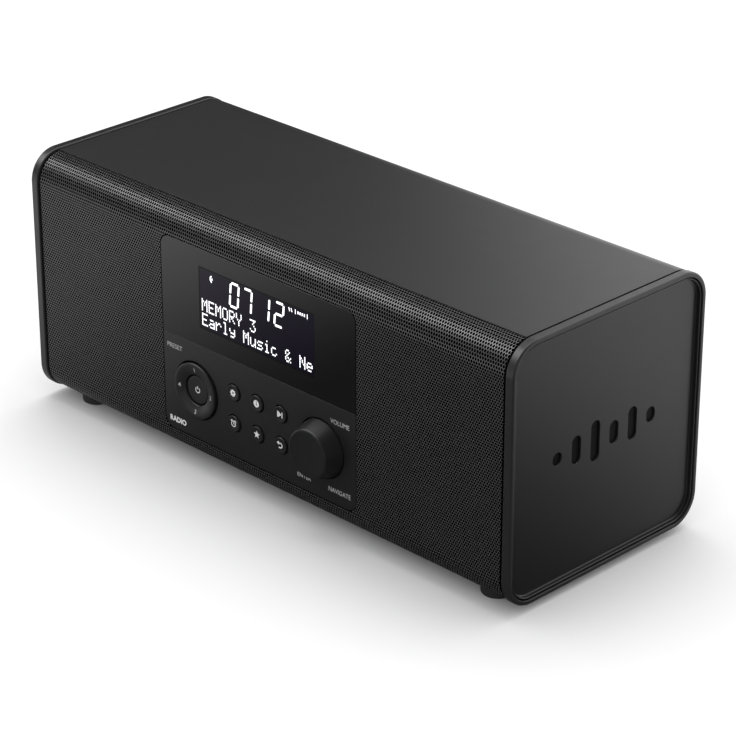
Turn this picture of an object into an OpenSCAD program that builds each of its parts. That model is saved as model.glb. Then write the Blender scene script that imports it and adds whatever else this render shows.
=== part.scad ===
// Tabletop radio: rounded cabinet with a wrapped perforated front, a control panel with a display,
// two small loudspeakers and a telescopic aerial stowed across the back.
// Millimetres. X runs to the right as seen from the front, Y runs to the back, Z runs up.
// The origin is on the table, under the middle of the cabinet.

/* [Cabinet] */
// Width over the two end caps
body_w = 256; // [250:1:270]
// Depth over the end caps
body_d = 102; // [100:1:110]
// Height of the cabinet without its feet
body_h = 102.4; // [102:0.2:108]
// Radius of the four long edges
corner_r = 12; // [11:0.5:13]
// How far the end caps stand proud of the skin between them
cap_proud = 0.6; // [0.4:0.1:0.8]
// Height of the rubber feet below the end caps
foot_h = 3; // [2:0.5:4]
// Radius of a rubber foot
foot_r = 6; // [5:0.5:8]

/* [Control panel] */
// Width of the control panel
panel_w = 104; // [102:0.5:105]
// Height of the control panel
panel_h = 80; // [79:0.5:82]
// Corner radius of the control panel
panel_r = 4.6; // [3:0.2:6]
// Sideways distance of the preset ring and of the volume knob from the middle
control_x = 34; // [33:0.5:35]
// How far the two round controls sit below the panel's middle
control_drop = 19.7; // [19:0.1:20.5]
// Spacing of the six small buttons, sideways and up
button_pitch = 12.8; // [12:0.1:13]
// Radius of a small button's cap
button_r = 3.3; // [3:0.1:3.4]

/* [Volume knob] */
// How far the knob stands out of the panel
knob_proud = 7.2; // [7:0.1:9]
// Radius of the knob at the panel
knob_r = 11.5; // [11:0.1:11.6]
// Radius of the knob at its front
knob_front_r = 9.8; // [9:0.1:10.5]
// How far the knob can be pressed
knob_travel = 0.7; // [0.4:0.1:0.8]

/* [Aerial] */
// Sideways place of the aerial's swivel
aerial_x = 100; // [92:1:102]
// Height of the stowed aerial above the cabinet's middle
aerial_up = 26; // [22:1:27]
// Length of the outermost aerial tube
aerial_len = 147; // [120:1:150]

/* [Hidden] */
$fn = 64;

// Cabinet: places worked out from the driving sizes
mid_z = foot_h + body_h / 2;
half_w = body_w / 2;
skin_y = body_d / 2 - cap_proud;      // front and back planes of the skin
cap_band = 3.8;                       // outer width of an end cap's rim
groove = 0.9;                         // dark groove between the skin and an end cap
skin_x = half_w - cap_band - groove;  // ends of the skin
wall = 3;                             // cabinet wall
grille_t = 0.8;                       // perforated sheet
baffle_t = 2.4;                       // moulded front behind the sheet
grille_seam_y = -(body_d / 2 - 11.2); // where the sheet meets the smooth cabinet
baffle_back_y = -skin_y + grille_t + baffle_t;
spigot_len = 2.5;                     // an end cap's spigot, inside the skin and the baffle
spigot_in = cap_proud + grille_t + baffle_t + 0.15;

// Rear cover
cover_w = 224;
cover_h = 76;
cover_gap = 0.3;
ledge = 5;                            // how far the ledge behind the cover reaches in
ledge_t = 2.5;
cover_in_y = skin_y - wall;

// Control panel: everything behind its front plane
panel_y = -skin_y;
plate_t = 2.4;
window_t = 1.2;
rim_t = 1.6;
tab_t = 2;
board_t = 1.6;
board_front_y = panel_y + 10.7;       // face of the board that carries the switches
switch_t = 3.1;
switch_w = 6;
switch_front_y = board_front_y - switch_t;
stem_end_y = switch_front_y + 0.2;
control_z = mid_z - control_drop;
button_top_z = mid_z - 13.3;
button_x = [-button_pitch, 0, button_pitch];
ring_r = 11.4;
ring_hole_r = 12;
ring_inner_r = 6.25;
ring_proud = 1.1;
ring_switch_r = 9.4;
pivot_y = panel_y + 5.8;              // plane of the ring's two tilt axes
gimbal_pin_r = 0.5;
lcd_w = 70;
lcd_h = 31;
lcd_z = mid_z + 20.3;
post_x = 46;
post_z = 35;

// Knob and encoder
shaft_r = 3;
running_gap = 0.05;
encoder_w = 12;
encoder_t = 6.5;
knob_skirt = 1.2;                     // part of the knob below the panel's plane
cup_floor_y = panel_y + 2.8;

// Loudspeakers
speaker_x = (panel_w / 2 + skin_x) / 2;
speaker_r = 33.5;
surround_out_r = 28.4;
cone_r = 24.5;
coil_r = 7.4;
magnet_r = 22.5;
gasket_t = 0.6;
speaker_y = baffle_back_y + gasket_t; // front of the basket's flange
screw_ring_r = 33;
ear_r = 3.4;                          // screw ears on the basket's flange

// Rear electronics
main_y = cover_in_y - 13;             // front face of the main board is one thickness nearer
main_w = 110;
main_h = 48;
main_z = mid_z - 6;
socket_z = main_z - 14;
jack_r = 1.8;
jack_depth = 12;
dc_x = -30;
line_x = 0;
phones_x = 22;
dc_bore_r = 3;

// Aerial: it reaches as far back as the knob reaches forward
rear_reach = skin_y + knob_proud;
cheek_r = 3.6;
aerial_y = rear_reach - cheek_r;
aerial_z = mid_z + aerial_up;
turret_r = 8;
turret_cup_r = 8.4;
turret_boss_r = turret_cup_r + 1.6;
turret_face_y = skin_y - 0.2;
tube_radii = [2.7, 2.3, 1.9, 1.5];
tube_wall = 0.35;
rod_r = 1.1;
tube_start = 3;
step_out = 1.4;                       // each tube peeps out of the one around it

// Left and right
sides = [-1, 1];

// Screws
screw_head_r = 2.2;
screw_head_t = 1.3;
screw_r = 1.1;
pilot_r = 1.15;

function arc(cx, cy, r, a0, a1, n) =
  [for (i = [0:n]) [cx + r * cos(a0 + (a1 - a0) * i / n), cy + r * sin(a0 + (a1 - a0) * i / n)]];
function cover_screw_places() = [
  for (sx = [-1, 1], sz = [-1, 1]) [sx * (cover_w / 2 - 3), mid_z + sz * (cover_h / 2 - 3)],
  for (sx = [-1, 1], sz = [-1, 1]) [sx * 40, mid_z + sz * (cover_h / 2 - 3)]
];
function panel_post_places() = [for (sx = [-1, 1], sz = [-1, 1]) [sx * post_x, mid_z + sz * post_z]];
function main_post_places() = [
  for (sx = [-1, 1], sz = [-1, 1]) [sx * (main_w / 2 - 5), main_z + sz * (main_h / 2 - 5)]
];
function panel_tab_places() = [for (sx = [-1, 1], sz = [-1, 1]) [sx * 56.2, mid_z + sz * 35]];
function speaker_screw_places() = [
  for (side = sides, a = [45:90:315])
    [side * speaker_x + screw_ring_r * cos(a), mid_z + screw_ring_r * sin(a)]
];

// ---- Shared shapes ----

module rounded_rect(w, h, r) {
  square([w - 2 * r, h], center = true);
  square([w, h - 2 * r], center = true);
  for (sx = [-1, 1], sy = [-1, 1])
    translate([sx * (w / 2 - r), sy * (h / 2 - r)]) circle(r);
}

module end_profile(inset) {
  rounded_rect(body_d - 2 * inset, body_h - 2 * inset, corner_r - inset);
}

module along_x(x0, x1) {
  translate([x0, 0, mid_z]) rotate([90, 0, 90]) linear_extrude(height = x1 - x0) children();
}

module along_y(y0, y1) {
  translate([0, y1, 0]) rotate([90, 0, 0]) linear_extrude(height = y1 - y0) children();
}

module box(x0, x1, y0, y1, z0, z1) {
  translate([x0, y0, z0]) cube([x1 - x0, y1 - y0, z1 - z0]);
}

module rod_y(x, z, r, y0, y1) {
  translate([x, y1, z]) rotate([90, 0, 0]) cylinder(r = r, h = y1 - y0);
}

module rod_x(y, z, r, x0, x1) {
  translate([x0, y, z]) rotate([0, 90, 0]) cylinder(r = r, h = x1 - x0);
}

module turned_y(x, z, points) {
  translate([x, 0, z]) rotate([-90, 0, 0]) rotate_extrude() polygon(points);
}

module skin_tube(inset, thickness) {
  difference() {
    along_x(-skin_x, skin_x) end_profile(inset);
    along_x(-skin_x - 1, skin_x + 1) end_profile(inset + thickness);
  }
}

module panel_outline(gap) {
  translate([0, mid_z]) rounded_rect(panel_w + 2 * gap, panel_h + 2 * gap, panel_r);
}

module screw_y(x, z, head_y, length, to_front) {
  s = to_front ? -1 : 1;
  head_end = head_y - s * screw_head_t;
  tip = head_y + s * length;
  rod_y(x, z, screw_head_r, min(head_y, head_end), max(head_y, head_end));
  rod_y(x, z, screw_r, min(head_y, tip), max(head_y, tip));
}

// ---- Cabinet ----

module cabinet_shell() {
  color([0.13, 0.13, 0.14])
  difference() {
    union() {
      difference() {
        skin_tube(cap_proud, wall);
        box(-half_w, half_w, -body_d, grille_seam_y, 0, 2 * body_h);
        along_y(cover_in_y - 1, skin_y + 1) translate([0, mid_z]) square([cover_w, cover_h], center = true);
      }
      difference() {
        along_y(cover_in_y - ledge_t, cover_in_y)
          translate([0, mid_z]) square([cover_w + 2, cover_h + 1], center = true);
        along_y(cover_in_y - ledge_t - 1, cover_in_y + 1)
          translate([0, mid_z]) square([cover_w - 2 * ledge, cover_h - 2 * ledge], center = true);
        rod_y(aerial_x, aerial_z, turret_boss_r + 0.3, cover_in_y - ledge_t - 1, cover_in_y + 1);
      }
    }
    for (p = cover_screw_places()) rod_y(p[0], p[1], pilot_r, cover_in_y - ledge_t - 1, cover_in_y + 1);
    for (sx = [-1, 1], sy = [-1, 1]) translate([sx * 110, sy * 37, 0]) cylinder(r = 2.1, h = foot_h + 3);
  }
}

module front_baffle() {
  color([0.10, 0.10, 0.10])
  difference() {
    intersection() {
      skin_tube(cap_proud + grille_t, baffle_t);
      box(-half_w, half_w, -body_d, grille_seam_y, 0, 2 * body_h);
    }
    along_y(-body_d, -body_d / 4) panel_outline(0.3);
    for (side = sides) rod_y(side * speaker_x, mid_z, 30, -body_d, -body_d / 4);
    for (p = speaker_screw_places()) rod_y(p[0], p[1], pilot_r, baffle_back_y - 1.8, baffle_back_y + 1);
    for (p = panel_tab_places()) rod_y(p[0], p[1], pilot_r, baffle_back_y - 1.8, baffle_back_y + 1);
  }
}

module front_grille() {
  color([0.20, 0.20, 0.21])
  difference() {
    intersection() {
      skin_tube(cap_proud, grille_t);
      box(-half_w, half_w, -body_d, grille_seam_y, 0, 2 * body_h);
    }
    along_y(-body_d, -body_d / 4) panel_outline(0.3);
  }
}

module end_cap(side) {
  rim_wall = 1.9;
  web_in = 5.7;
  color([0.11, 0.11, 0.12])
  on_side(side) {
    difference() {
      along_x(half_w - cap_band, half_w) end_profile(0);
      along_x(half_w - cap_band + 1, half_w + 1) end_profile(rim_wall);
      along_x(half_w - cap_band - 1, half_w + 1) end_profile(web_in);
    }
    difference() {
      along_x(half_w - cap_band - spigot_len, half_w - cap_band) end_profile(spigot_in);
      along_x(half_w - cap_band - spigot_len - 1, half_w - cap_band + 1) end_profile(web_in);
    }
  }
}

module on_side(side) {
  if (side > 0) children();
  else mirror([1, 0, 0]) children();
}

// The motif is a row of upright sound bars, pressed into the side panel.
module sound_bars(depth_x) {
  bar_w = 4.6;
  heights = [5, 11, 16, 9, 13, 6];
  for (i = [0:len(heights) - 1])
    along_x(depth_x, half_w)
      translate([(i - (len(heights) - 1) / 2) * 10, 0])
        rounded_rect(bar_w, heights[i], bar_w / 2 - 0.01);
}

module side_panel(side) {
  edge_in = 2.2;
  floor_x = half_w - 2.1;
  color([0.15, 0.15, 0.16])
  on_side(side)
    difference() {
      union() {
        along_x(floor_x - 2.3, floor_x) end_profile(5.9);
        along_x(half_w - cap_band + 1.1, half_w - 0.4) end_profile(edge_in);
      }
      for (k = [0:2]) along_x(floor_x + 0.1 * k * k, half_w + 1) end_profile(3.6 - 0.2 * k);
      sound_bars(floor_x - 0.7);
    }
}

module rear_cover() {
  color([0.12, 0.12, 0.12])
  difference() {
    union() {
      along_y(cover_in_y, skin_y) translate([0, mid_z])
        square([cover_w - 2 * cover_gap, cover_h - 2 * cover_gap], center = true);
      for (p = main_post_places()) rod_y(p[0], p[1], 3, main_y, cover_in_y);
      rod_y(aerial_x, aerial_z, turret_boss_r, skin_y - 5, skin_y - 1);
      aerial_shelf();
    }
    rod_y(aerial_x, aerial_z, turret_cup_r, skin_y - 3, skin_y + 1);
    rod_y(aerial_x, aerial_z, 2.5 + running_gap, skin_y - 6, skin_y);
    for (x = [line_x, phones_x]) rod_y(x, socket_z, 3.7, cover_in_y - 1, skin_y + 1);
    rod_y(dc_x, socket_z, 5.2, cover_in_y - 1, skin_y + 1);
    for (p = cover_screw_places()) rod_y(p[0], p[1], screw_r + 0.1, cover_in_y - 1, skin_y + 1);
    for (p = cover_screw_places()) rod_y(p[0], p[1], screw_head_r + 0.2, skin_y - 1.5, skin_y + 1);
    for (p = main_post_places()) rod_y(p[0], p[1], pilot_r, main_y - 1, main_y + 7);
    for (side = sides, i = [0:6])
      box(side * 78 - 16, side * 78 + 16, cover_in_y - 1, skin_y + 1,
          mid_z - 24 + 5 * i, mid_z - 22.2 + 5 * i);
  }
}

// A short ledge under the stowed aerial, near its tip.
module aerial_shelf() {
  box(-38, -30, cover_in_y + 1, aerial_y + 1.5, aerial_z - tube_radii[0] - 2.8, aerial_z - tube_radii[0] - 0.4);
}

module rubber_feet() {
  color([0.05, 0.05, 0.05])
  for (sx = [-1, 1], sy = [-1, 1]) translate([sx * 110, sy * 37, 0]) {
    cylinder(r1 = foot_r - 0.6, r2 = foot_r, h = 0.6);
    translate([0, 0, 0.6]) cylinder(r = foot_r, h = foot_h + cap_proud - 0.6);
    translate([0, 0, foot_h + cap_proud]) cylinder(r = 2, h = 2);
  }
}

// ---- Control panel ----

module control_panel() {
  color([0.09, 0.09, 0.10])
  difference() {
    union() {
      along_y(panel_y, panel_y + plate_t) panel_outline(0);
      difference() {
        along_y(panel_y + plate_t, baffle_back_y + tab_t) panel_outline(0);
        along_y(panel_y + plate_t - 1, baffle_back_y + tab_t + 1)
          translate([0, mid_z])
            rounded_rect(panel_w - 2 * rim_t, panel_h - 2 * rim_t, panel_r - rim_t);
      }
      for (sx = [-1, 1])
        box(sx * (panel_w / 2) - 1.9, sx * (panel_w / 2) + 1.9,
            baffle_back_y, baffle_back_y + tab_t, mid_z - 38.4, mid_z + 38.4);
      for (p = panel_tab_places())
        box(p[0] - 3.4, p[0] + 3.4, baffle_back_y, baffle_back_y + tab_t, p[1] - 3.4, p[1] + 3.4);
      for (p = panel_post_places()) rod_y(p[0], p[1], 2.6, panel_y + 1.5, board_front_y);
      rod_y(control_x, control_z, ring_hole_r + 1.2, panel_y + 1, cup_floor_y + 1.2);
    }
    along_y(panel_y - 1, panel_y + window_t)
      difference() {
        panel_outline(1);
        translate([-panel_w, mid_z - panel_h]) square([2 * panel_w, panel_h]);
      }
    along_y(panel_y - 1, panel_y + plate_t + 1)
      translate([0, lcd_z]) square([lcd_w + 1, lcd_h + 1], center = true);
    rod_y(-control_x, control_z, ring_hole_r, panel_y - 1, panel_y + 4);
    rod_y(control_x, control_z, ring_hole_r, panel_y - 1, cup_floor_y);
    rod_y(control_x, control_z, 3.7, panel_y, cup_floor_y + 2);
    for (x = button_x, row = [0, 1])
      rod_y(x, button_top_z - row * button_pitch, button_r + 0.35, panel_y - 1, panel_y + plate_t + 1);
    for (p = panel_tab_places())
      rod_y(p[0], p[1], screw_r + 0.1, baffle_back_y - 1, baffle_back_y + tab_t + 1);
    for (p = panel_post_places()) rod_y(p[0], p[1], pilot_r, board_front_y - 6, board_front_y + 1);
  }
}

module display_window() {
  color([0.05, 0.05, 0.07, 0.6])
  along_y(panel_y, panel_y + window_t)
    difference() {
      panel_outline(0);
      translate([-panel_w, mid_z - panel_h]) square([2 * panel_w, panel_h]);
    }
}

module lcd_glass() {
  color([0.12, 0.12, 0.2])
  box(-lcd_w / 2, lcd_w / 2, panel_y + 1.3, panel_y + 3.3, lcd_z - lcd_h / 2, lcd_z + lcd_h / 2);
}

module lcd_backlight() {
  color("white")
  difference() {
    box(-lcd_w / 2 - 1, lcd_w / 2 + 1, panel_y + 3.3, panel_y + 7, lcd_z - lcd_h / 2 - 1, lcd_z + lcd_h / 2 + 1);
    box(-lcd_w / 2 + 3, lcd_w / 2 - 3, panel_y + 5, panel_y + 8, lcd_z - lcd_h / 2 + 3, lcd_z + lcd_h / 2 - 3);
  }
}

module lcd_board() {
  color("darkgreen") {
    box(-39, 39, panel_y + 7, panel_y + 8.4, lcd_z - 18, lcd_z + 17);
    box(-25, 25, panel_y + 8.4, board_front_y, lcd_z + 12, lcd_z + 14.5);
  }
}

module front_board() {
  color("green")
  difference() {
    box(-panel_w / 2 + 2, panel_w / 2 - 2, board_front_y, board_front_y + board_t, mid_z - 38, mid_z + 38);
    for (p = panel_post_places())
      rod_y(p[0], p[1], screw_r + 0.2, board_front_y - 1, board_front_y + board_t + 1);
  }
}

function key_places() = concat(
  [for (x = button_x, row = [0, 1]) [x, button_top_z - row * button_pitch]],
  [for (a = [0:90:270]) [-control_x + ring_switch_r * cos(a), control_z + ring_switch_r * sin(a)]],
  [[-control_x, control_z]]
);

module key_switches() {
  color([0.2, 0.2, 0.2])
  for (p = key_places())
    difference() {
      box(p[0] - switch_w / 2, p[0] + switch_w / 2, switch_front_y, board_front_y,
          p[1] - switch_w / 2, p[1] + switch_w / 2);
      rod_y(p[0], p[1], 1.9, switch_front_y - 1, switch_front_y + 1.6);
    }
}

module small_button(column, row) {
  x = button_x[column];
  z = button_top_z - row * button_pitch;
  proud = 0.65;
  dish_r = 18;
  color([0.10, 0.10, 0.11])
  difference() {
    union() {
      rod_y(x, z, button_r, panel_y - proud, panel_y + plate_t + 0.6);
      rod_y(x, z, button_r + 1, panel_y + plate_t + 0.5, panel_y + plate_t + 1.3);
      rod_y(x, z, 1.5, panel_y + plate_t + 1, stem_end_y);
    }
    translate([x, panel_y - proud - dish_r + 0.25, z]) sphere(dish_r);
  }
}

module preset_ring() {
  flange_r = 12.6;
  flange_y = panel_y + plate_t + 0.8;
  hub_in = 7;
  hub_out = 8.2;
  face = panel_y - ring_proud;
  color([0.10, 0.10, 0.11])
  difference() {
    union() {
      turned_y(-control_x, control_z, concat(
        [[ring_inner_r, panel_y + 0.1]],
        [for (i = [1:6]) let (t = i / 6) [ring_inner_r + t * (ring_r - 0.5 - ring_inner_r),
          panel_y + 0.1 - (ring_proud + 0.1) * sin(90 * t)]],
        arc(ring_r - 0.4, face + 0.4, 0.4, -60, 0, 3),
        [[ring_r, flange_y], [flange_r, flange_y], [flange_r, flange_y + 0.8],
         [hub_out, flange_y + 0.8], [hub_out, pivot_y + 1], [hub_in, pivot_y + 1],
         [hub_in, panel_y + 2], [ring_inner_r, panel_y + 2]]
      ));
      for (a = [0:90:270])
        rod_y(-control_x + ring_switch_r * cos(a), control_z + ring_switch_r * sin(a), 1,
              flange_y + 0.5, stem_end_y);
    }
    rod_x(pivot_y, control_z, gimbal_pin_r + running_gap, -control_x - 9, -control_x + 9);
  }
}

module ring_gimbal() {
  color("silver") {
    difference() {
      rod_y(-control_x, control_z, 6.4, pivot_y - 0.6, pivot_y + 0.6);
      rod_y(-control_x, control_z, 5.2, pivot_y - 2, pivot_y + 2);
    }
    for (s = [-1, 1]) {
      rod_x(pivot_y, control_z, gimbal_pin_r, -control_x + min(s * 6, s * 8), -control_x + max(s * 6, s * 8));
      translate([-control_x, pivot_y, control_z + (s > 0 ? 2.8 : -5.4)]) cylinder(r = gimbal_pin_r, h = 2.6);
    }
  }
}

module ring_pivot_post() {
  color([0.7, 0.7, 0.68])
  difference() {
    union() {
      rod_y(-control_x, control_z, 4, pivot_y - 1.2, switch_front_y);
      rod_y(-control_x, control_z, 6.2, switch_front_y - 0.6, board_front_y);
    }
    rod_y(-control_x, control_z, 2, pivot_y - 3, switch_front_y);
    rod_y(-control_x, control_z, 4.6, switch_front_y - 0.1, board_front_y + 1);
    translate([-control_x, pivot_y, control_z - 5]) cylinder(r = gimbal_pin_r + running_gap, h = 10);
  }
}

module power_button() {
  cap_r = 5.75;
  color([0.11, 0.11, 0.12]) {
    rod_y(-control_x, control_z, cap_r, panel_y + 0.6, panel_y + 2.6);
    rod_y(-control_x, control_z, 1.7, panel_y + 2.5, stem_end_y);
  }
}

module encoder_body() {
  front = board_front_y - encoder_t;
  color("silver")
  difference() {
    union() {
      box(control_x - encoder_w / 2, control_x + encoder_w / 2, front, board_front_y,
          control_z - encoder_w / 2, control_z + encoder_w / 2);
      rod_y(control_x, control_z, 3.5, front - 2.2, front + 1);
    }
    rod_y(control_x, control_z, shaft_r + running_gap, front - 3, front + 2.5);
    rod_y(control_x, control_z, 5, front + 1.4, board_front_y - 0.8);
  }
}

module encoder_plunger() {
  front = board_front_y - encoder_t;
  color("ivory")
  rod_y(control_x, control_z, 4.6, front + 2.7, board_front_y - 0.8 - knob_travel - 0.3);
}

module encoder_shaft() {
  front = board_front_y - encoder_t;
  color([0.75, 0.75, 0.77]) {
    rod_y(control_x, control_z, shaft_r, panel_y - 4.6, front + 1.5);
    rod_y(control_x, control_z, 4.4, front + 1.6 + 0.1, front + 2.6);
    rod_y(control_x, control_z, shaft_r, front + 1.4, front + 1.8);
  }
}

module volume_knob() {
  face = panel_y - knob_proud;
  dome = 0.5;
  edge = 1;
  color([0.08, 0.08, 0.09])
  turned_y(control_x, control_z, concat(
    [[0, face]],
    [for (i = [1:4]) let (t = i / 4) [(knob_front_r - edge) * t, face + dome * t * t]],
    arc(knob_front_r - edge, face + dome + edge, edge, -60, 0, 4),
    [[knob_r, panel_y], [knob_r, panel_y + knob_skirt], [knob_r - 1.6, panel_y + knob_skirt],
     [knob_front_r - 2, face + 2.6], [5.2, face + 2.6], [5.2, panel_y], [shaft_r, panel_y],
     [shaft_r, panel_y - 4.6], [0, panel_y - 4.6]]
  ));
}

// ---- Loudspeakers ----

module speaker_basket(side) {
  color([0.25, 0.25, 0.27])
  difference() {
    union() {
      turned_y(side * speaker_x, mid_z, [
        [surround_out_r, speaker_y], [speaker_r, speaker_y], [speaker_r, speaker_y + 1.8],
        [surround_out_r + 1.6, speaker_y + 1.8], [23, speaker_y + 19.6], [23, speaker_y + 21.2],
        [9, speaker_y + 21.2], [9, speaker_y + 19.6], [21.6, speaker_y + 19.6],
        [surround_out_r, speaker_y + 1.8]
      ]);
      for (a = [45:90:315])
        rod_y(side * speaker_x + screw_ring_r * cos(a), mid_z + screw_ring_r * sin(a), ear_r,
              speaker_y, speaker_y + 1.8);
    }
    for (a = [0:60:300])
      translate([side * speaker_x, speaker_y + 10.5, mid_z]) rotate([0, a, 0])
        translate([26, 0, 0]) cube([14, 12, 15], center = true);
    for (a = [45:90:315])
      rod_y(side * speaker_x + screw_ring_r * cos(a), mid_z + screw_ring_r * sin(a), screw_r + 0.1,
            speaker_y - 1, speaker_y + 3);
  }
}

module speaker_magnet(side) {
  gap_in = 6.2;
  gap_out = 8.2;
  front = speaker_y + 21.2;
  color([0.3, 0.3, 0.32])
  turned_y(side * speaker_x, mid_z, [
    [0, front - 1], [gap_in, front - 1], [gap_in, front + 9], [gap_out, front + 9],
    [gap_out, front], [magnet_r, front], [magnet_r, front + 12], [0, front + 12]
  ]);
}

module speaker_cone(side) {
  rim_y = speaker_y + 2.2;
  neck_y = speaker_y + 14;
  t = 0.7;
  dome = 3;
  color([0.18, 0.18, 0.18])
  turned_y(side * speaker_x, mid_z, concat(
    [for (i = [0:5]) let (u = i / 5) [11 * u, neck_y - 4 - dome + dome * u * u]],
    [[cone_r, rim_y], [cone_r, rim_y + t], [coil_r, neck_y + t], [coil_r, neck_y + 12.5],
     [coil_r - 0.6, neck_y + 12.5], [coil_r - 0.6, neck_y - 1.6]],
    [for (i = [4:-1:0]) let (u = i / 5) [8 * u, neck_y - 3.2 - dome + dome * u * u + 1]]
  ));
}

module speaker_surround(side) {
  roll = (surround_out_r - cone_r) / 2;
  rim_y = speaker_y + 1.8;
  t = 0.5;
  color([0.06, 0.06, 0.06])
  turned_y(side * speaker_x, mid_z, concat(
    arc(cone_r + roll, rim_y, roll, 180, 360, 10),
    arc(cone_r + roll, rim_y, roll - t, 360, 180, 10)
  ));
}

module speaker_gaskets() {
  color([0.1, 0.1, 0.1])
  for (side = sides)
    difference() {
      rod_y(side * speaker_x, mid_z, speaker_r, baffle_back_y, speaker_y);
      rod_y(side * speaker_x, mid_z, 30.2, baffle_back_y - 1, speaker_y + 1);
      for (a = [45:90:315])
        rod_y(side * speaker_x + screw_ring_r * cos(a), mid_z + screw_ring_r * sin(a), screw_r + 0.1,
              baffle_back_y - 1, speaker_y + 1);
    }
}

// ---- Electronics ----

module main_board() {
  color("green")
  difference() {
    box(-main_w / 2, main_w / 2, main_y - board_t, main_y, main_z - main_h / 2, main_z + main_h / 2);
    for (p = main_post_places()) rod_y(p[0], p[1], screw_r + 0.2, main_y - 3, main_y + 1);
  }
}

module tuner_module() {
  color("silver")
  box(12, 44, main_y - board_t - 4, main_y - board_t, main_z - 12, main_z + 14);
}

module amplifier_heatsink() {
  fin_t = 1.2;
  base_y = main_y - board_t;
  color([0.6, 0.6, 0.62]) {
    box(-44, -20, base_y - 2, base_y, main_z - 10, main_z + 12);
    for (i = [0:6])
      box(-44 + 3.8 * i, -44 + 3.8 * i + fin_t, base_y - 11, base_y - 1.9, main_z - 10, main_z + 12);
  }
}

module capacitors() {
  color([0.15, 0.17, 0.3])
  for (x = [-12, -4, 4], z = [main_z - 15])
    rod_y(x, z, 3.2, main_y - board_t - 10, main_y - board_t);
}

module jack_socket(x) {
  color([0.05, 0.05, 0.05])
  difference() {
    union() {
      box(x - 4.5, x + 4.5, main_y, cover_in_y - 0.2, socket_z - 4.5, socket_z + 4.5);
      rod_y(x, socket_z, 3.5, cover_in_y - 1, skin_y);
    }
    rod_y(x, socket_z, jack_r, skin_y - jack_depth, skin_y + 1);
  }
}

module dc_socket() {
  color([0.05, 0.05, 0.05]) {
    difference() {
      union() {
        box(dc_x - 5.5, dc_x + 5.5, main_y, cover_in_y - 0.2, socket_z - 5.5, socket_z + 5.5);
        rod_y(dc_x, socket_z, 5, cover_in_y - 1, skin_y);
      }
      rod_y(dc_x, socket_z, dc_bore_r, skin_y - 10, skin_y + 1);
    }
    rod_y(dc_x, socket_z, 1, skin_y - 10.5, skin_y - 1);
  }
}

module display_ribbon() {
  y0 = board_front_y + board_t;
  y1 = main_y - board_t;
  t = 0.5;
  drop = 6;
  top = [for (i = [0:12]) let (u = i / 12) [y0 + (y1 - y0) * u, main_z + 10 - drop * sin(180 * u)]];
  color([0.75, 0.75, 0.75])
  translate([-8, 0, 0]) rotate([90, 0, 90]) linear_extrude(height = 16)
    polygon(concat(top, [for (i = [12:-1:0]) [top[i][0], top[i][1] - t]]));
}

// A lead is one tube swept along its route, with its ends cut square to the first and last runs.
function unit(v) = v / norm(v);
function heading(points, i) =
  unit(points[min(i + 1, len(points) - 1)] - points[max(i - 1, 0)]);
function lead_ring(point, along, r, sides) =
  let (side = unit(cross(along, [0.2, 0.1, 1])), up = cross(side, along))
  [for (k = [0:sides - 1])
    point + r * (cos(360 * k / sides) * side + sin(360 * k / sides) * up)];

module wire(points, r) {
  sides = 8;
  last = len(points) - 1;
  rings = [for (i = [0:last]) each lead_ring(points[i], heading(points, i), r, sides)];
  walls = [for (i = [0:last - 1], k = [0:sides - 1])
    let (n = (k + 1) % sides)
    [i * sides + k, i * sides + n, (i + 1) * sides + n, (i + 1) * sides + k]];
  front = [[for (k = [sides - 1:-1:0]) k]];
  back = [[for (k = [0:sides - 1]) last * sides + k]];
  polyhedron(points = rings, faces = concat(walls, front, back));
}

module speaker_leads() {
  color("red")
  for (side = sides)
    wire([
      [side * 48, main_y - board_t, main_z + 2],
      [side * 48, 26, main_z + 2],
      [side * 49, 16, main_z + 3],
      [side * 53, 6, main_z + 4],
      [side * 55, -6, main_z + 5],
      [side * 56, speaker_y + 22, mid_z],
      [side * 58, speaker_y + 16, mid_z],
      [side * (speaker_x - 26.5), speaker_y + 13.5, mid_z]
    ], 0.9);
}

module aerial_lead() {
  color([0.1, 0.1, 0.1])
  wire([
    [aerial_x, skin_y - 8.1, aerial_z],
    [aerial_x, skin_y - 10, aerial_z],
    [aerial_x - 3, skin_y - 13, aerial_z],
    [aerial_x - 12, 34, aerial_z - 1],
    [72, 30, aerial_z - 6],
    [60, 27, main_z + 22],
    [52, 26, main_z + 16],
    [49, 28, main_z + 14],
    [49, main_y - board_t, main_z + 14]
  ], 0.8);
}

// ---- Aerial ----

module aerial_turret() {
  color([0.08, 0.08, 0.08])
  difference() {
    union() {
      rod_y(aerial_x, aerial_z, turret_r, skin_y - 2.7, turret_face_y);
      rod_y(aerial_x, aerial_z, 2.5, skin_y - 6.4, skin_y - 2);
      rod_y(aerial_x, aerial_z, 4.2, skin_y - 8, skin_y - 5.3);
      for (s = [-1, 1]) {
        z0 = aerial_z + (s > 0 ? 3.3 : -5);
        box(aerial_x - cheek_r, aerial_x + cheek_r, turret_face_y - 0.5, aerial_y, z0, z0 + 1.7);
        translate([aerial_x, aerial_y, z0]) cylinder(r = cheek_r, h = 1.7);
      }
    }
    translate([aerial_x, aerial_y, aerial_z - 6]) cylinder(r = 1.2, h = 12);
  }
}

module aerial_hinge_pin() {
  color("silver")
  translate([aerial_x, aerial_y, aerial_z - 5]) cylinder(r = 1.2, h = 10);
}

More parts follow.
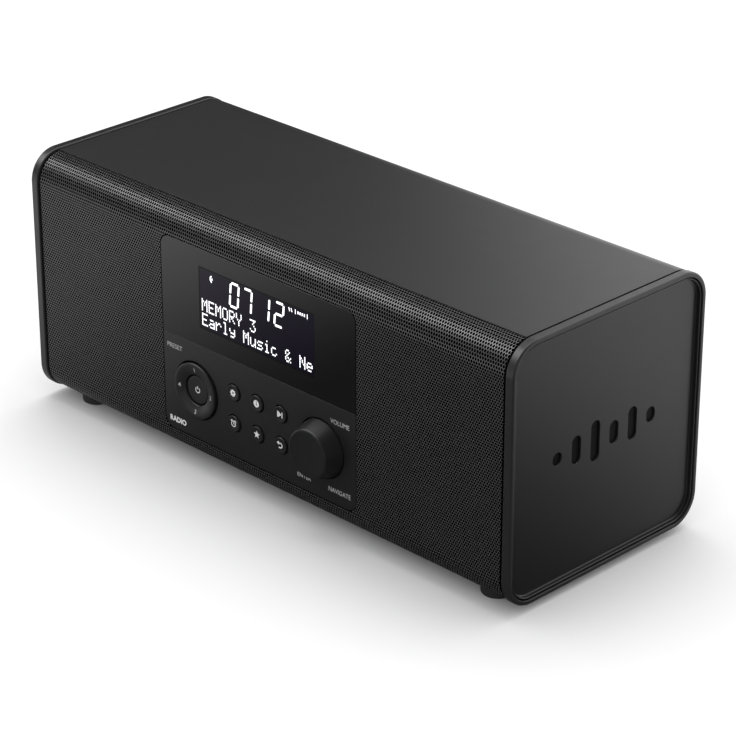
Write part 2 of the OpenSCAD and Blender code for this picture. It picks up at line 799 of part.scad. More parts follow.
module aerial_tube_1() {
  color([0.8, 0.8, 0.82])
  difference() {
    union() {
      translate([aerial_x, aerial_y, aerial_z - 3.1]) cylinder(r = 3.5, h = 6.2);
      rod_x(aerial_y, aerial_z, tube_radii[0], aerial_x - tube_start - aerial_len, aerial_x - 2);
    }
    translate([aerial_x, aerial_y, aerial_z - 6]) cylinder(r = 1.25, h = 12);
    rod_x(aerial_y, aerial_z, tube_radii[0] - tube_wall, aerial_x - tube_start - aerial_len - 1,
          aerial_x - 6);
  }
}

// Tube k slides inside tube k - 1. All end near the tip, each a little further out.
module aerial_tube(k) {
  tip = aerial_x - tube_start - aerial_len - step_out * k;
  color([0.8, 0.8, 0.82])
  difference() {
    rod_x(aerial_y, aerial_z, tube_radii[k], tip, tip + aerial_len - 8);
    rod_x(aerial_y, aerial_z, tube_radii[k] - tube_wall, tip - 1, tip + aerial_len - 9);
  }
}

module aerial_rod() {
  tip = aerial_x - tube_start - aerial_len - step_out * 4;
  color([0.85, 0.85, 0.87]) {
    rod_x(aerial_y, aerial_z, rod_r, tip, tip + aerial_len - 12);
    rod_x(aerial_y, aerial_z, 2.5, tip - 4, tip);
    translate([tip - 4, aerial_y, aerial_z]) sphere(2.5);
  }
}

// ---- Fasteners ----

module rear_screws() {
  color([0.2, 0.2, 0.2])
  for (p = cover_screw_places()) screw_y(p[0], p[1], skin_y - 1.5, 3.6, true);
}

module speaker_screws() {
  color([0.2, 0.2, 0.2])
  for (p = speaker_screw_places()) screw_y(p[0], p[1], speaker_y + 1.8, 3.8, true);
}

module panel_screws() {
  color([0.2, 0.2, 0.2])
  for (p = panel_tab_places()) screw_y(p[0], p[1], baffle_back_y + tab_t, 3.4, true);
}

module board_screws() {
  color("silver") {
    for (p = panel_post_places()) screw_y(p[0], p[1], board_front_y + board_t, 6, true);
    for (p = main_post_places()) screw_y(p[0], p[1], main_y - board_t, 6, false);
  }
}

cabinet_shell();
front_baffle();
front_grille();
end_cap(-1);  // left_end_cap
end_cap(1);  // right_end_cap
side_panel(-1);  // left_side_panel
side_panel(1);  // right_side_panel
rear_cover();
rubber_feet();
control_panel();
display_window();
lcd_glass();
lcd_backlight();
lcd_board();
front_board();
key_switches();
encoder_body();
encoder_plunger();
encoder_shaft();
volume_knob();
power_button();
preset_ring();
ring_gimbal();
ring_pivot_post();
small_button(0, 0);  // settings_button
small_button(1, 0);  // info_button
small_button(2, 0);  // next_button
small_button(0, 1);  // alarm_button
small_button(1, 1);  // favourite_button
small_button(2, 1);  // back_button
speaker_basket(-1);  // left_speaker_basket
speaker_basket(1);  // right_speaker_basket
speaker_magnet(-1);  // left_speaker_magnet
speaker_magnet(1);  // right_speaker_magnet
speaker_cone(-1);  // left_speaker_cone
speaker_cone(1);  // right_speaker_cone
speaker_surround(-1);  // left_speaker_surround
speaker_surround(1);  // right_speaker_surround
speaker_gaskets();
main_board();
tuner_module();
amplifier_heatsink();
capacitors();
dc_socket();
jack_socket(line_x);  // line_in_socket
jack_socket(phones_x);  // headphone_socket
display_ribbon();
speaker_leads();
aerial_lead();
aerial_turret();
aerial_hinge_pin();
aerial_tube_1();
aerial_tube(1);  // aerial_tube_2
aerial_tube(2);  // aerial_tube_3
aerial_tube(3);  // aerial_tube_4
aerial_rod();
rear_screws();
speaker_screws();
panel_screws();
board_screws();
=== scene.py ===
"""Looks of a tabletop radio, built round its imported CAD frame.

Lengths inside the classes are millimetres. A finished piece is placed in the frame's metres, with its
object at the origin. X runs to the right as seen from the front, Y to the back and Z up.
"""

import logging
import math
from dataclasses import dataclass, field
from enum import Enum
from typing import Callable, Iterable, Optional, Sequence

import bmesh
import bpy
import numpy as np
from mathutils import Matrix, Vector


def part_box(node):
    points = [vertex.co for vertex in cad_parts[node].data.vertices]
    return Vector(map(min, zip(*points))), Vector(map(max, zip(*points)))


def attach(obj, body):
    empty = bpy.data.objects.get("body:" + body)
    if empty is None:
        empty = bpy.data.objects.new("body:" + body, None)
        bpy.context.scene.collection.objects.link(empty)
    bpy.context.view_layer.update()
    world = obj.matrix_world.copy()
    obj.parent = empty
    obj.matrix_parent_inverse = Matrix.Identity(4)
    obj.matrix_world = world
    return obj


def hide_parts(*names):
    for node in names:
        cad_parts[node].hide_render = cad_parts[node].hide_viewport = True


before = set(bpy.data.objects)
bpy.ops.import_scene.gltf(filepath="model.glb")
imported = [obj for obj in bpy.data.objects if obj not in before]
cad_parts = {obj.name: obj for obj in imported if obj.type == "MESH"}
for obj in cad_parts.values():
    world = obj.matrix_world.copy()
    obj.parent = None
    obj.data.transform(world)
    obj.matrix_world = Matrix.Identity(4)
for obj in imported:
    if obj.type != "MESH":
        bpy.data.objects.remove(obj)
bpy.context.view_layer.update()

MM = 0.001
LOG = logging.getLogger("radio")
Profile = Sequence[tuple[float, float]]
Colour = tuple[float, float, float]


# ---- Finishes ----


@dataclass(frozen=True)
class Finish:
    """A moulded or painted surface: its colour drifts slightly, and a fine grain roughens it.

    Sizes are millimetres. Colours are linear.
    """

    name: str
    colour: Colour
    roughness: float = 0.45
    metallic: float = 0.0
    specular: float = 0.5
    drift: float = 0.14
    drift_size: float = 22.0
    grain_size: float = 0.35
    grain_depth: float = 0.006
    rough_spread: float = 0.05
    # Lightening of convex edges: partly wear, partly a painted highlight.
    edge_wear_and_highlight: float = 0.0

    def material(self) -> bpy.types.Material:
        """Makes the material once, and gives the same one after that.

        Returns:
            The finished node material.
        """
        known = bpy.data.materials.get(self.name)
        if known is not None:
            return known
        made = bpy.data.materials.new(self.name)
        made.use_nodes = True
        self.wire(NodeBench(made))
        return made

    def wire(self, bench: "NodeBench") -> None:
        """Adds the drift, the lightened edges (wear and a painted highlight), the uneven gloss and the
        grain.

        Args:
            bench: The material's nodes.
        """
        shader = bench.shader
        shader.inputs["Metallic"].default_value = self.metallic
        shader.inputs["Specular IOR Level"].default_value = self.specular
        drift = bench.noise(self.drift_size, detail=3.0)
        low = tuple(c * (1 - self.drift) for c in self.colour)
        high = tuple(min(1.0, c * (1 + self.drift)) for c in self.colour)
        tint = bench.blend(drift, low, high)
        # Convex edges are lightened: partly wear, partly a painted highlight.
        if self.edge_wear_and_highlight > 0:
            wear_and_highlight_tint = tuple(min(1.0, c + self.edge_wear_and_highlight) for c in self.colour)
            tint = bench.wear_and_highlight_edges(tint, wear_and_highlight_tint)
        bench.join(tint, "Base Color")
        patch = bench.noise(self.drift_size * 0.35, detail=4.0)
        bench.join(bench.spread(patch, self.roughness, self.rough_spread), "Roughness")
        bench.grain(self.grain_size, self.grain_depth)


@dataclass(frozen=True)
class Brushed(Finish):
    """Metal with fine lines drawn along X or round a turned piece."""

    stretch: tuple[float, float, float] = (0.04, 1.0, 1.0)

    def wire(self, bench: "NodeBench") -> None:
        """Adds the drawn lines to the plain finish.

        Args:
            bench: The material's nodes.
        """
        super().wire(bench)
        lines = bench.noise(self.grain_size, detail=2.0, stretch=self.stretch)
        bench.join(bench.spread(lines, self.roughness, self.rough_spread * 2), "Roughness")


@dataclass(frozen=True)
class Acrylic(Finish):
    """Clear plastic over a dark print: black with a polished face, and the odd faint ripple."""

    ripple: float = 0.0004
    ripple_size: float = 30.0

    def wire(self, bench: "NodeBench") -> None:
        """Adds the slow ripple of moulded acrylic in place of a grain."""
        super().wire(bench)
        bench.grain(self.ripple_size, self.ripple)


@dataclass(frozen=True)
class Lit(Finish):
    """Ink or liquid crystal that glows evenly, with a slight unevenness from the lamp behind it."""

    glow: float = 1.0

    def wire(self, bench: "NodeBench") -> None:
        """Adds the glow to the plain finish.

        Args:
            bench: The material's nodes.
        """
        super().wire(bench)
        drift = bench.noise(self.drift_size, detail=1.0)
        low = tuple(c * (1 - self.drift) for c in self.colour)
        bench.join(bench.blend(drift, low, self.colour), "Emission Color")
        bench.shader.inputs["Emission Strength"].default_value = self.glow


@dataclass(frozen=True)
class Printed(Finish):
    """A circuit board: solder resist with copper tracks showing faintly under it."""

    track: Colour = (0.03, 0.16, 0.06)
    track_size: float = 3.0

    def wire(self, bench: "NodeBench") -> None:
        """Draws the tracks as thin cell borders.

        Args:
            bench: The material's nodes.
        """
        super().wire(bench)
        cells = bench.cells(self.track_size)
        bench.join(bench.blend(cells, self.track, self.colour), "Base Color")


class NodeBench:
    """The nodes of one material, with the few helpers that the finishes need."""

    def __init__(self, material: bpy.types.Material) -> None:
        """Finds the shader and adds the object coordinates.

        Args:
            material: A material that uses nodes.
        """
        self.tree = material.node_tree
        self.shader = self.tree.nodes["Principled BSDF"]
        self.place = self.tree.nodes.new("ShaderNodeTexCoord").outputs["Object"]

    def join(self, source: bpy.types.NodeSocket, name: str) -> None:
        """Links a value to one of the shader's inputs."""
        self.tree.links.new(source, self.shader.inputs[name])

    def noise(
        self,
        size: float,
        detail: float = 2.0,
        stretch: tuple[float, float, float] = (1.0, 1.0, 1.0),
    ) -> bpy.types.NodeSocket:
        """Adds a noise whose features are about this many millimetres across.

        Args:
            size: Feature size.
            detail: How many finer layers it has.
            stretch: Factors on the coordinates along X, Y and Z.

        Returns:
            The noise's value.
        """
        mapping = self.tree.nodes.new("ShaderNodeMapping")
        mapping.inputs["Scale"].default_value = [s / (size * MM) for s in stretch]
        self.tree.links.new(self.place, mapping.inputs["Vector"])
        noise = self.tree.nodes.new("ShaderNodeTexNoise")
        noise.inputs["Scale"].default_value = 1.0
        noise.inputs["Detail"].default_value = detail
        self.tree.links.new(mapping.outputs["Vector"], noise.inputs["Vector"])
        return noise.outputs["Fac"]

    def cells(self, size: float) -> bpy.types.NodeSocket:
        """Adds square-sided cells and gives 0 along their borders, 1 inside.

        Args:
            size: Cell size in millimetres.

        Returns:
            The mask.
        """
        cells = self.tree.nodes.new("ShaderNodeTexVoronoi")
        cells.feature = "DISTANCE_TO_EDGE"
        cells.inputs["Scale"].default_value = 1 / (size * MM)
        self.tree.links.new(self.place, cells.inputs["Vector"])
        return self.ramp(cells.outputs["Distance"], 0.05, 0.07)

    def ramp(self, value: bpy.types.NodeSocket, low: float, high: float) -> bpy.types.NodeSocket:
        """Maps low..high to 0..1, clamped.

        Args:
            value: The value to map.
            low: What becomes 0.
            high: What becomes 1.

        Returns:
            The mapped value.
        """
        ramp = self.tree.nodes.new("ShaderNodeMapRange")
        ramp.inputs["From Min"].default_value = low
        ramp.inputs["From Max"].default_value = high
        self.tree.links.new(value, ramp.inputs["Value"])
        return ramp.outputs["Result"]

    def spread(self, value: bpy.types.NodeSocket, middle: float, width: float) -> bpy.types.NodeSocket:
        """Spreads a noise about a middle value.

        Args:
            value: The noise.
            middle: The middle of the result.
            width: How far the result goes either way.

        Returns:
            The spread value.
        """
        ramp = self.tree.nodes.new("ShaderNodeMapRange")
        ramp.inputs["From Min"].default_value = 0.3
        ramp.inputs["From Max"].default_value = 0.7
        ramp.inputs["To Min"].default_value = max(0.0, middle - width)
        ramp.inputs["To Max"].default_value = min(1.0, middle + width)
        self.tree.links.new(value, ramp.inputs["Value"])
        return ramp.outputs["Result"]

    def blend(self, factor: bpy.types.NodeSocket, low: Colour, high: Colour) -> bpy.types.NodeSocket:
        """Mixes two colours.

        Args:
            factor: 0 gives the first colour and 1 the second.
            low: The first colour.
            high: The second colour.

        Returns:
            The mixed colour.
        """
        mix = self.tree.nodes.new("ShaderNodeMix")
        mix.data_type = "RGBA"
        self.tree.links.new(factor, mix.inputs["Factor"])
        mix.inputs[6].default_value = (*low, 1.0)
        mix.inputs[7].default_value = (*high, 1.0)
        return mix.outputs[2]

    def wear_and_highlight_edges(self, tint: bpy.types.NodeSocket, wear_and_highlight_tint: Colour) -> bpy.types.NodeSocket:
        """Lightens sharp edges: partly wear where hands rub, partly a painted highlight along convex edges.

        Args:
            tint: The colour elsewhere.
            wear_and_highlight_tint: The colour of a lightened edge, worn and carrying a painted highlight.

        Returns:
            The mixed colour.
        """
        shape = self.tree.nodes.new("ShaderNodeNewGeometry")
        mask = self.ramp(shape.outputs["Pointiness"], 0.53, 0.62)
        mix = self.tree.nodes.new("ShaderNodeMix")
        mix.data_type = "RGBA"
        self.tree.links.new(mask, mix.inputs["Factor"])
        self.tree.links.new(tint, mix.inputs[6])
        mix.inputs[7].default_value = (*wear_and_highlight_tint, 1.0)
        return mix.outputs[2]

    def grain(self, size: float, depth: float) -> None:
        """Adds the fine moulded or blasted grain as a bump.

        Args:
            size: Grain size in millimetres.
            depth: Grain depth in millimetres.
        """
        bump = self.tree.nodes.new("ShaderNodeBump")
        bump.inputs["Distance"].default_value = depth * MM
        bump.inputs["Strength"].default_value = 1.0
        self.tree.links.new(self.noise(size, detail=3.0), bump.inputs["Height"])
        self.join(bump.outputs["Normal"], "Normal")


CABINET_SATIN = Finish(
    "cabinet_satin", (0.013, 0.013, 0.0133), roughness=0.42, drift=0.03, grain_depth=0.004,
    rough_spread=0.012,
)
CAP_SATIN = Finish(
    "end_cap_satin", (0.013, 0.013, 0.0133), roughness=0.38, drift=0.06, grain_depth=0.003,
    edge_wear_and_highlight=0.01,
)
# The side panel's edge lightening of 0.05 is mostly a painted highlight along its rolled edges.
SIDE_SATIN = Finish(
    "side_panel_satin", (0.008, 0.008, 0.0083), roughness=0.34, drift=0.06, grain_depth=0.002,
    rough_spread=0.015, edge_wear_and_highlight=0.05,
)
# Near-black for the floors of the sound bars: painted shade in the recesses.
SOUND_BAR_SHADE_BLACK = Finish("sound_bar_painted_shade", (0.0015, 0.0015, 0.0015), roughness=0.5, specular=0.1, drift=0.2)
GRILLE_PAINT = Finish(
    "grille_paint", (0.045, 0.045, 0.045), roughness=0.34, specular=0.8, drift=0.1, grain_size=0.2,
    grain_depth=0.003,
)
# Near-black for the walls of the grille's holes: painted shade inside the perforations.
HOLE_SHADE_BLACK = Finish("grille_hole_painted_shade", (0.002, 0.002, 0.002), roughness=0.8, specular=0.05)
BAFFLE_BLACK = Finish("baffle_black", (0.003, 0.003, 0.003), roughness=0.7, specular=0.1, grain_size=0.5)
PANEL_MATT = Finish("panel_matt", (0.009, 0.009, 0.0092), roughness=0.40, drift=0.06, grain_depth=0.003)
KEY_MATT = Finish(
    "key_matt", (0.009, 0.009, 0.0092), roughness=0.36, drift=0.08, grain_depth=0.002, edge_wear_and_highlight=0.008,
)
KNOB_SATIN = Finish(
    "knob_satin", (0.009, 0.009, 0.0093), roughness=0.36, specular=0.42, drift=0.08,
    grain_depth=0.003, edge_wear_and_highlight=0.008,
)
WINDOW_SMOKE = Acrylic(
    "window_smoke", (0.0035, 0.0035, 0.0037), roughness=0.06, drift=0.2, rough_spread=0.02,
)
LCD_VIOLET = Lit(
    "lcd_violet", (0.0024, 0.0014, 0.0050), roughness=0.12, specular=0.25, drift=0.4,
    drift_size=30.0, glow=1.0,
)
LCD_FRAME = Lit("lcd_frame", (0.0008, 0.0008, 0.0010), roughness=0.3, specular=0.2, drift=0.3, glow=0.5)
LCD_WHITE = Lit("lcd_white", (0.93, 0.95, 1.0), roughness=0.1, drift=0.1, glow=1.0)
INK_WHITE = Finish(
    "ink_white", (0.62, 0.62, 0.62), roughness=0.5, drift=0.08, drift_size=1.5, grain_size=0.1,
)
INK_GREY = Finish("ink_grey", (0.36, 0.36, 0.36), roughness=0.5, drift=0.08, drift_size=1.5, grain_size=0.1)
REAR_MATT = Finish("rear_matt", (0.018, 0.018, 0.018), roughness=0.5, grain_size=0.5, grain_depth=0.012)
SOCKET_BLACK = Finish("socket_black", (0.012, 0.012, 0.012), roughness=0.35)
FOOT_RUBBER = Finish(
    "foot_rubber", (0.010, 0.010, 0.010), roughness=0.75, grain_size=0.4, grain_depth=0.015,
)
AERIAL_CHROME = Brushed(
    "aerial_chrome", (0.72, 0.72, 0.74), roughness=0.12, metallic=1.0, drift=0.04, grain_size=0.25,
    grain_depth=0.0006,
)
STEEL_BRIGHT = Brushed(
    "steel_bright", (0.55, 0.55, 0.56), roughness=0.3, metallic=1.0, drift=0.08, grain_depth=0.002,
)
SCREW_BLACK = Finish(
    "screw_black", (0.02, 0.02, 0.021), roughness=0.35, metallic=0.6, grain_depth=0.003,
    edge_wear_and_highlight=0.05,
)
MAGNET_GREY = Finish("magnet_grey", (0.05, 0.05, 0.055), roughness=0.6, grain_size=0.8, grain_depth=0.03)
BASKET_STEEL = Finish("basket_steel", (0.08, 0.08, 0.085), roughness=0.4, metallic=0.7, grain_depth=0.004)
CONE_PAPER = Finish("cone_paper", (0.03, 0.03, 0.032), roughness=0.8, grain_size=0.9, grain_depth=0.05)
SURROUND_RUBBER = Finish("surround_rubber", (0.012, 0.012, 0.012), roughness=0.6, grain_depth=0.006)
GASKET_FOAM = Finish("gasket_foam", (0.02, 0.02, 0.02), roughness=0.95, grain_size=0.4, grain_depth=0.08)
BOARD_GREEN = Printed("board_green", (0.012, 0.09, 0.035), roughness=0.35)
SWITCH_BLACK = Finish("switch_black", (0.02, 0.02, 0.02), roughness=0.45)
DIFFUSER_WHITE = Finish("diffuser_white", (0.75, 0.75, 0.74), roughness=0.5)
PLUNGER_IVORY = Finish("plunger_ivory", (0.62, 0.58, 0.48), roughness=0.45)
SLEEVE_BLUE = Finish("sleeve_blue", (0.02, 0.03, 0.12), roughness=0.3, drift=0.2)
SINK_ALUMINIUM = Brushed("sink_aluminium", (0.55, 0.56, 0.58), roughness=0.35, metallic=1.0)
RIBBON_GREY = Finish("ribbon_grey", (0.45, 0.45, 0.46), roughness=0.5)
LEAD_RED = Finish("lead_red", (0.35, 0.02, 0.015), roughness=0.45)
LEAD_BLACK = Finish("lead_black", (0.015, 0.015, 0.015), roughness=0.45)

KEY_EDGE = tuple(math.radians(22.5 * k) for k in range(1, 5))
KNOB_EDGE = tuple(math.radians(12 * k) for k in range(1, 8))
SOCKET_EDGE = (0.4, 0.8, 1.2, 1.57)

INNER_FINISHES: dict[str, Finish] = {
    "front_baffle": BAFFLE_BLACK,
    "lcd_backlight": DIFFUSER_WHITE,
    "lcd_board": BOARD_GREEN,
    "front_board": BOARD_GREEN,
    "key_switches": SWITCH_BLACK,
    "encoder_body": STEEL_BRIGHT,
    "encoder_plunger": PLUNGER_IVORY,
    "encoder_shaft": STEEL_BRIGHT,
    "ring_gimbal": STEEL_BRIGHT,
    "ring_pivot_post": PLUNGER_IVORY,
    "left_speaker_basket": BASKET_STEEL,
    "right_speaker_basket": BASKET_STEEL,
    "left_speaker_magnet": MAGNET_GREY,
    "right_speaker_magnet": MAGNET_GREY,
    "left_speaker_cone": CONE_PAPER,
    "right_speaker_cone": CONE_PAPER,
    "left_speaker_surround": SURROUND_RUBBER,
    "right_speaker_surround": SURROUND_RUBBER,
    "speaker_gaskets": GASKET_FOAM,
    "main_board": BOARD_GREEN,
    "tuner_module": STEEL_BRIGHT,
    "amplifier_heatsink": SINK_ALUMINIUM,
    "capacitors": SLEEVE_BLUE,
    "display_ribbon": RIBBON_GREY,
    "speaker_leads": LEAD_RED,
    "aerial_lead": LEAD_BLACK,
    "aerial_hinge_pin": AERIAL_CHROME,
    "speaker_screws": STEEL_BRIGHT,
    "panel_screws": STEEL_BRIGHT,
    "board_screws": STEEL_BRIGHT,
}


# ---- Shared workshop ----


class Face(Enum):
    """Which way a flat shape looks: the directions of its own right, up and out."""

    FRONT = ((1, 0, 0), (0, 0, 1), (0, -1, 0))
    REAR = ((-1, 0, 0), (0, 0, 1), (0, 1, 0))
    RIGHT = ((0, 1, 0), (0, 0, 1), (1, 0, 0))
    LEFT = ((0, -1, 0), (0, 0, 1), (-1, 0, 0))
    UP = ((1, 0, 0), (0, 1, 0), (0, 0, 1))

    def place(self, origin: Vector) -> Matrix:
        """Takes local millimetres to the frame's metres."""
        turn = Matrix(self.value).transposed().to_4x4()
        return Matrix.Translation(origin) @ turn @ Matrix.Scale(MM, 4)


@dataclass(frozen=True)
class NodeBox:
    """A CAD node's box at rest, in metres."""

    low: Vector
    high: Vector

    @classmethod
    def of(cls, node: str) -> "NodeBox":
        """Reads the box of a node."""
        low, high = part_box(node)
        return cls(low, high)

    @property
    def centre(self) -> Vector:
        """The middle of the box."""
        return (self.low + self.high) / 2

    @property
    def size(self) -> Vector:
        """The box's three sides, in millimetres."""
        return (self.high - self.low) / MM


@dataclass
class Piece:
    """What a finished mesh stands for and moves with."""

    name: str
    finish: Finish
    body: str = "root"
    nodes: tuple[str, ...] = ()
    slot: Optional[str] = None
    sharp_angle: float = 35.0
    even_normals: bool = True

    def finish_off(self, mesh: bmesh.types.BMesh, place: Matrix, recalc: bool = True) -> bpy.types.Object:
        """Places the mesh, makes its object, dresses it and ties it to its body.

        Args:
            mesh: The shape, in local millimetres. It is freed.
            place: Where it goes.
            recalc: Whether closed shells are turned to face outwards.

        Returns:
            The new object.
        """
        bmesh.ops.transform(mesh, matrix=place, verts=mesh.verts)
        bmesh.ops.remove_doubles(mesh, verts=mesh.verts, dist=1e-7)
        if recalc:
            bmesh.ops.recalc_face_normals(mesh, faces=mesh.faces)
        limit = math.radians(self.sharp_angle)
        for f in mesh.faces:
            f.smooth = True
        for e in mesh.edges:
            e.smooth = len(e.link_faces) == 2 and e.calc_face_angle(0.0) < limit
        data = bpy.data.meshes.new(self.name)
        mesh.to_mesh(data)
        mesh.free()
        return self.tie(data)

    def tie(self, data: bpy.types.Mesh) -> bpy.types.Object:
        """Makes the object of a finished mesh and ties it to its body.

        Args:
            data: The mesh, in the frame's metres.

        Returns:
            The new object.
        """
        made = bpy.data.objects.new(self.name, data)
        bpy.context.scene.collection.objects.link(made)
        data.materials.clear()
        data.materials.append(self.finish.material())
        if self.even_normals:
            made.modifiers.new("even_normals", "WEIGHTED_NORMAL").keep_sharp = True
        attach(made, self.body)
        if self.nodes:
            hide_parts(*self.nodes)
        LOG.info("%s: %d faces, rides on %s", self.name, len(data.polygons), self.body)
        return made


def arc(
    cx: float, cy: float, radius: float, start: float, end: float, steps: int
) -> list[tuple[float, float]]:
    """Gives points along an arc."""
    turns = [math.radians(start + (end - start) * k / steps) for k in range(steps + 1)]
    return [(cx + radius * math.cos(a), cy + radius * math.sin(a)) for a in turns]


class Loop:
    """A closed loop of edges that is extruded step by step into a moulding.

    Each step moves the loop's points square to the outline and to a new height.
    """

    def __init__(
        self, mesh: bmesh.types.BMesh, edges: list[bmesh.types.BMEdge], inset: float, lift: float
    ) -> None:
        """Keeps the loop's edges and where it stands.

        Args:
            mesh: The mesh that holds the loop.
            edges: Its edges.
            inset: How far in from the outline it lies.
            lift: Its height.
        """
        self.mesh = mesh
        self.edges = edges
        self.inset = inset
        self.lift = lift

    @staticmethod
    def away_layer(mesh: bmesh.types.BMesh) -> bmesh.types.BMLayerItem:
        """The layer that holds each point's direction away from the outline's inside."""
        layers = mesh.verts.layers.float_vector
        return layers.get("away") or layers.new("away")

    @classmethod
    def rounded(
        cls,
        mesh: bmesh.types.BMesh,
        size: tuple[float, float],
        top_radius: float,
        foot_radius: Optional[float] = None,
        centre: tuple[float, float] = (0.0, 0.0),
        lift: float = 0.0,
        steps: int = 10,
    ) -> "Loop":
        """Draws a rounded rectangle.

        Args:
            mesh: The mesh to draw in.
            size: Width and height.
            top_radius: Radius of the two upper corners.
            foot_radius: Radius of the two lower corners, the same if left out.
            centre: Its middle.
            lift: Its height.
            steps: Edges in each corner.

        Returns:
            The loop.
        """
        away = cls.away_layer(mesh)
        foot_radius = top_radius if foot_radius is None else foot_radius
        before = set(mesh.edges)
        corners = bmesh.ops.create_grid(mesh, x_segments=1, y_segments=1, size=0.5)["verts"]
        for v in corners:
            v.co = Vector((v.co.x * size[0], v.co.y * size[1], 0.0))
        for radius, row in ((top_radius, 1), (foot_radius, -1)):
            chosen = [v for v in mesh.verts if v in set(corners) and v.is_valid and v.co.y * row > 0]
            bmesh.ops.bevel(
                mesh, geom=chosen, offset=radius, segments=steps, profile=0.5, affect="VERTICES", material=-1
            )
            corners = [v for v in corners if v.is_valid]
        edges = [e for e in mesh.edges if e not in before]
        faces = {f for e in edges for f in e.link_faces}
        bmesh.ops.delete(mesh, geom=list(faces), context="FACES_ONLY")
        for v in {v for e in edges for v in e.verts}:
            radius = top_radius if v.co.y > 0 else foot_radius
            middle = Vector((
                math.copysign(size[0] / 2 - radius, v.co.x),
                math.copysign(size[1] / 2 - radius, v.co.y),
                0.0,
            ))
            v[away] = (v.co - middle) / radius
            v.co += Vector((centre[0], centre[1], lift))
        return cls(mesh, edges, 0.0, lift)

    @classmethod
    def circle(
        cls,
        mesh: bmesh.types.BMesh,
        radius: float,
        centre: tuple[float, float] = (0.0, 0.0),
        lift: float = 0.0,
        steps: int = 48,
    ) -> "Loop":
        """Draws a circle.

        Args:
            mesh: The mesh to draw in.
            radius: Its radius.
            centre: Its middle.
            lift: Its height.
            steps: Number of edges.

        Returns:
            The loop.
        """
        away = cls.away_layer(mesh)
        before = set(mesh.edges)
        bmesh.ops.create_circle(mesh, cap_ends=False, segments=steps, radius=radius)
        edges = [e for e in mesh.edges if e not in before]
        for v in {v for e in edges for v in e.verts}:
            v[away] = v.co.normalized()
            v.co += Vector((centre[0], centre[1], lift))
        return cls(mesh, edges, 0.0, lift)

    def step(self, inset: float, lift: float) -> "Loop":
        """Extrudes the loop to a new inset and height.

        Args:
            inset: How far in from the outline the new loop lies.
            lift: Its height.

        Returns:
            The new loop.
        """
        away = self.away_layer(self.mesh)
        made = bmesh.ops.extrude_edge_only(self.mesh, edges=self.edges)["geom"]
        shift = self.inset - inset
        for v in (g for g in made if isinstance(g, bmesh.types.BMVert)):
            direction = v[away]
            v.co = Vector((v.co.x + direction.x * shift, v.co.y + direction.y * shift, lift))
        ring = {g for g in made if isinstance(g, bmesh.types.BMVert)}
        edges = [e for g in made if isinstance(g, bmesh.types.BMEdge) for e in [g] if set(e.verts) <= ring]
        return Loop(self.mesh, edges, inset, lift)

    def follow(self, profile: Profile) -> "Loop":
        """Extrudes the loop along a profile of (inset, height) points.

        Args:
            profile: The points, in order.

        Returns:
            The last loop.
        """
        loop = self
        for inset, lift in profile:
            loop = loop.step(inset, lift)
        return loop

    def cap(self) -> None:
        """Closes the loop with one flat face."""
        bmesh.ops.edgeloop_fill(self.mesh, edges=self.edges)


def fill_between(mesh: bmesh.types.BMesh, loops: Iterable[Loop]) -> None:
    """Fills the flat area between an outer loop and the loops inside it."""
    edges = [e for loop in loops for e in loop.edges]
    bmesh.ops.triangle_fill(mesh, use_beauty=True, use_dissolve=False, edges=edges, normal=(0, 0, 1))


def ring_moulding(
    size: tuple[float, float], radius: float, profile: Profile, steps: int = 14
) -> bmesh.types.BMesh:
    """Sweeps a closed profile round a rounded rectangle.

    Args:
        size: The outline's width and height.
        radius: The outline's corner radius.
        profile: Closed profile of (inset, height) points, without the first point again at its end.
        steps: Edges in each corner.

    Returns:
        The mesh.
    """
    mesh = bmesh.new()
    first = Loop.rounded(mesh, size, radius, steps=steps)
    start = first.step(*profile[0])
    bmesh.ops.delete(mesh, geom=list({v for e in first.edges for v in e.verts}), context="VERTS")
    start.follow([*profile[1:], profile[0]])
    bmesh.ops.remove_doubles(mesh, verts=mesh.verts, dist=1e-4)
    return mesh


def turned(profile: Profile, steps: int = 64) -> bmesh.types.BMesh:
    """Spins a profile of (radius, height) points about the local upright axis.

    Args:
        profile: The points. Poles lie at radius 0.
        steps: Steps round the axis.

    Returns:
        The mesh.
    """
    mesh = bmesh.new()
    points = [mesh.verts.new((r, 0.0, h)) for r, h in profile]
    edges = [mesh.edges.new(pair) for pair in zip(points, points[1:])]
    bmesh.ops.spin(
        mesh,
        geom=[*points, *edges],
        cent=(0, 0, 0),
        axis=(0, 0, 1),
        angle=math.tau,
        steps=steps,
        use_merge=True,
        use_duplicate=False,
    )
    bmesh.ops.remove_doubles(mesh, verts=mesh.verts, dist=1e-4)
    return mesh


def shoulder(radius: float, top: float, soft: float, turns: Sequence[float]) -> list[tuple[float, float]]:
    """Points round the soft outer edge of a turned piece, from its face down to its side."""
    return [(radius - soft + soft * math.sin(t), top - soft * (1 - math.cos(t))) for t in turns]


def absorb(target: bmesh.types.BMesh, source: bmesh.types.BMesh, place: Matrix) -> None:
    """Adds one mesh to another.

    Args:
        target: The mesh that grows.
        source: The mesh to add. It is freed.
        place: Where it goes in the target.
    """
    bmesh.ops.transform(source, matrix=place, verts=source.verts)
    scratch = bpy.data.meshes.new("scratch")
    source.to_mesh(scratch)
    source.free()
    target.from_mesh(scratch)
    bpy.data.meshes.remove(scratch)


def shifted(x: float, y: float, z: float = 0.0) -> Matrix:
    """A plain shift."""
    return Matrix.Translation((x, y, z))


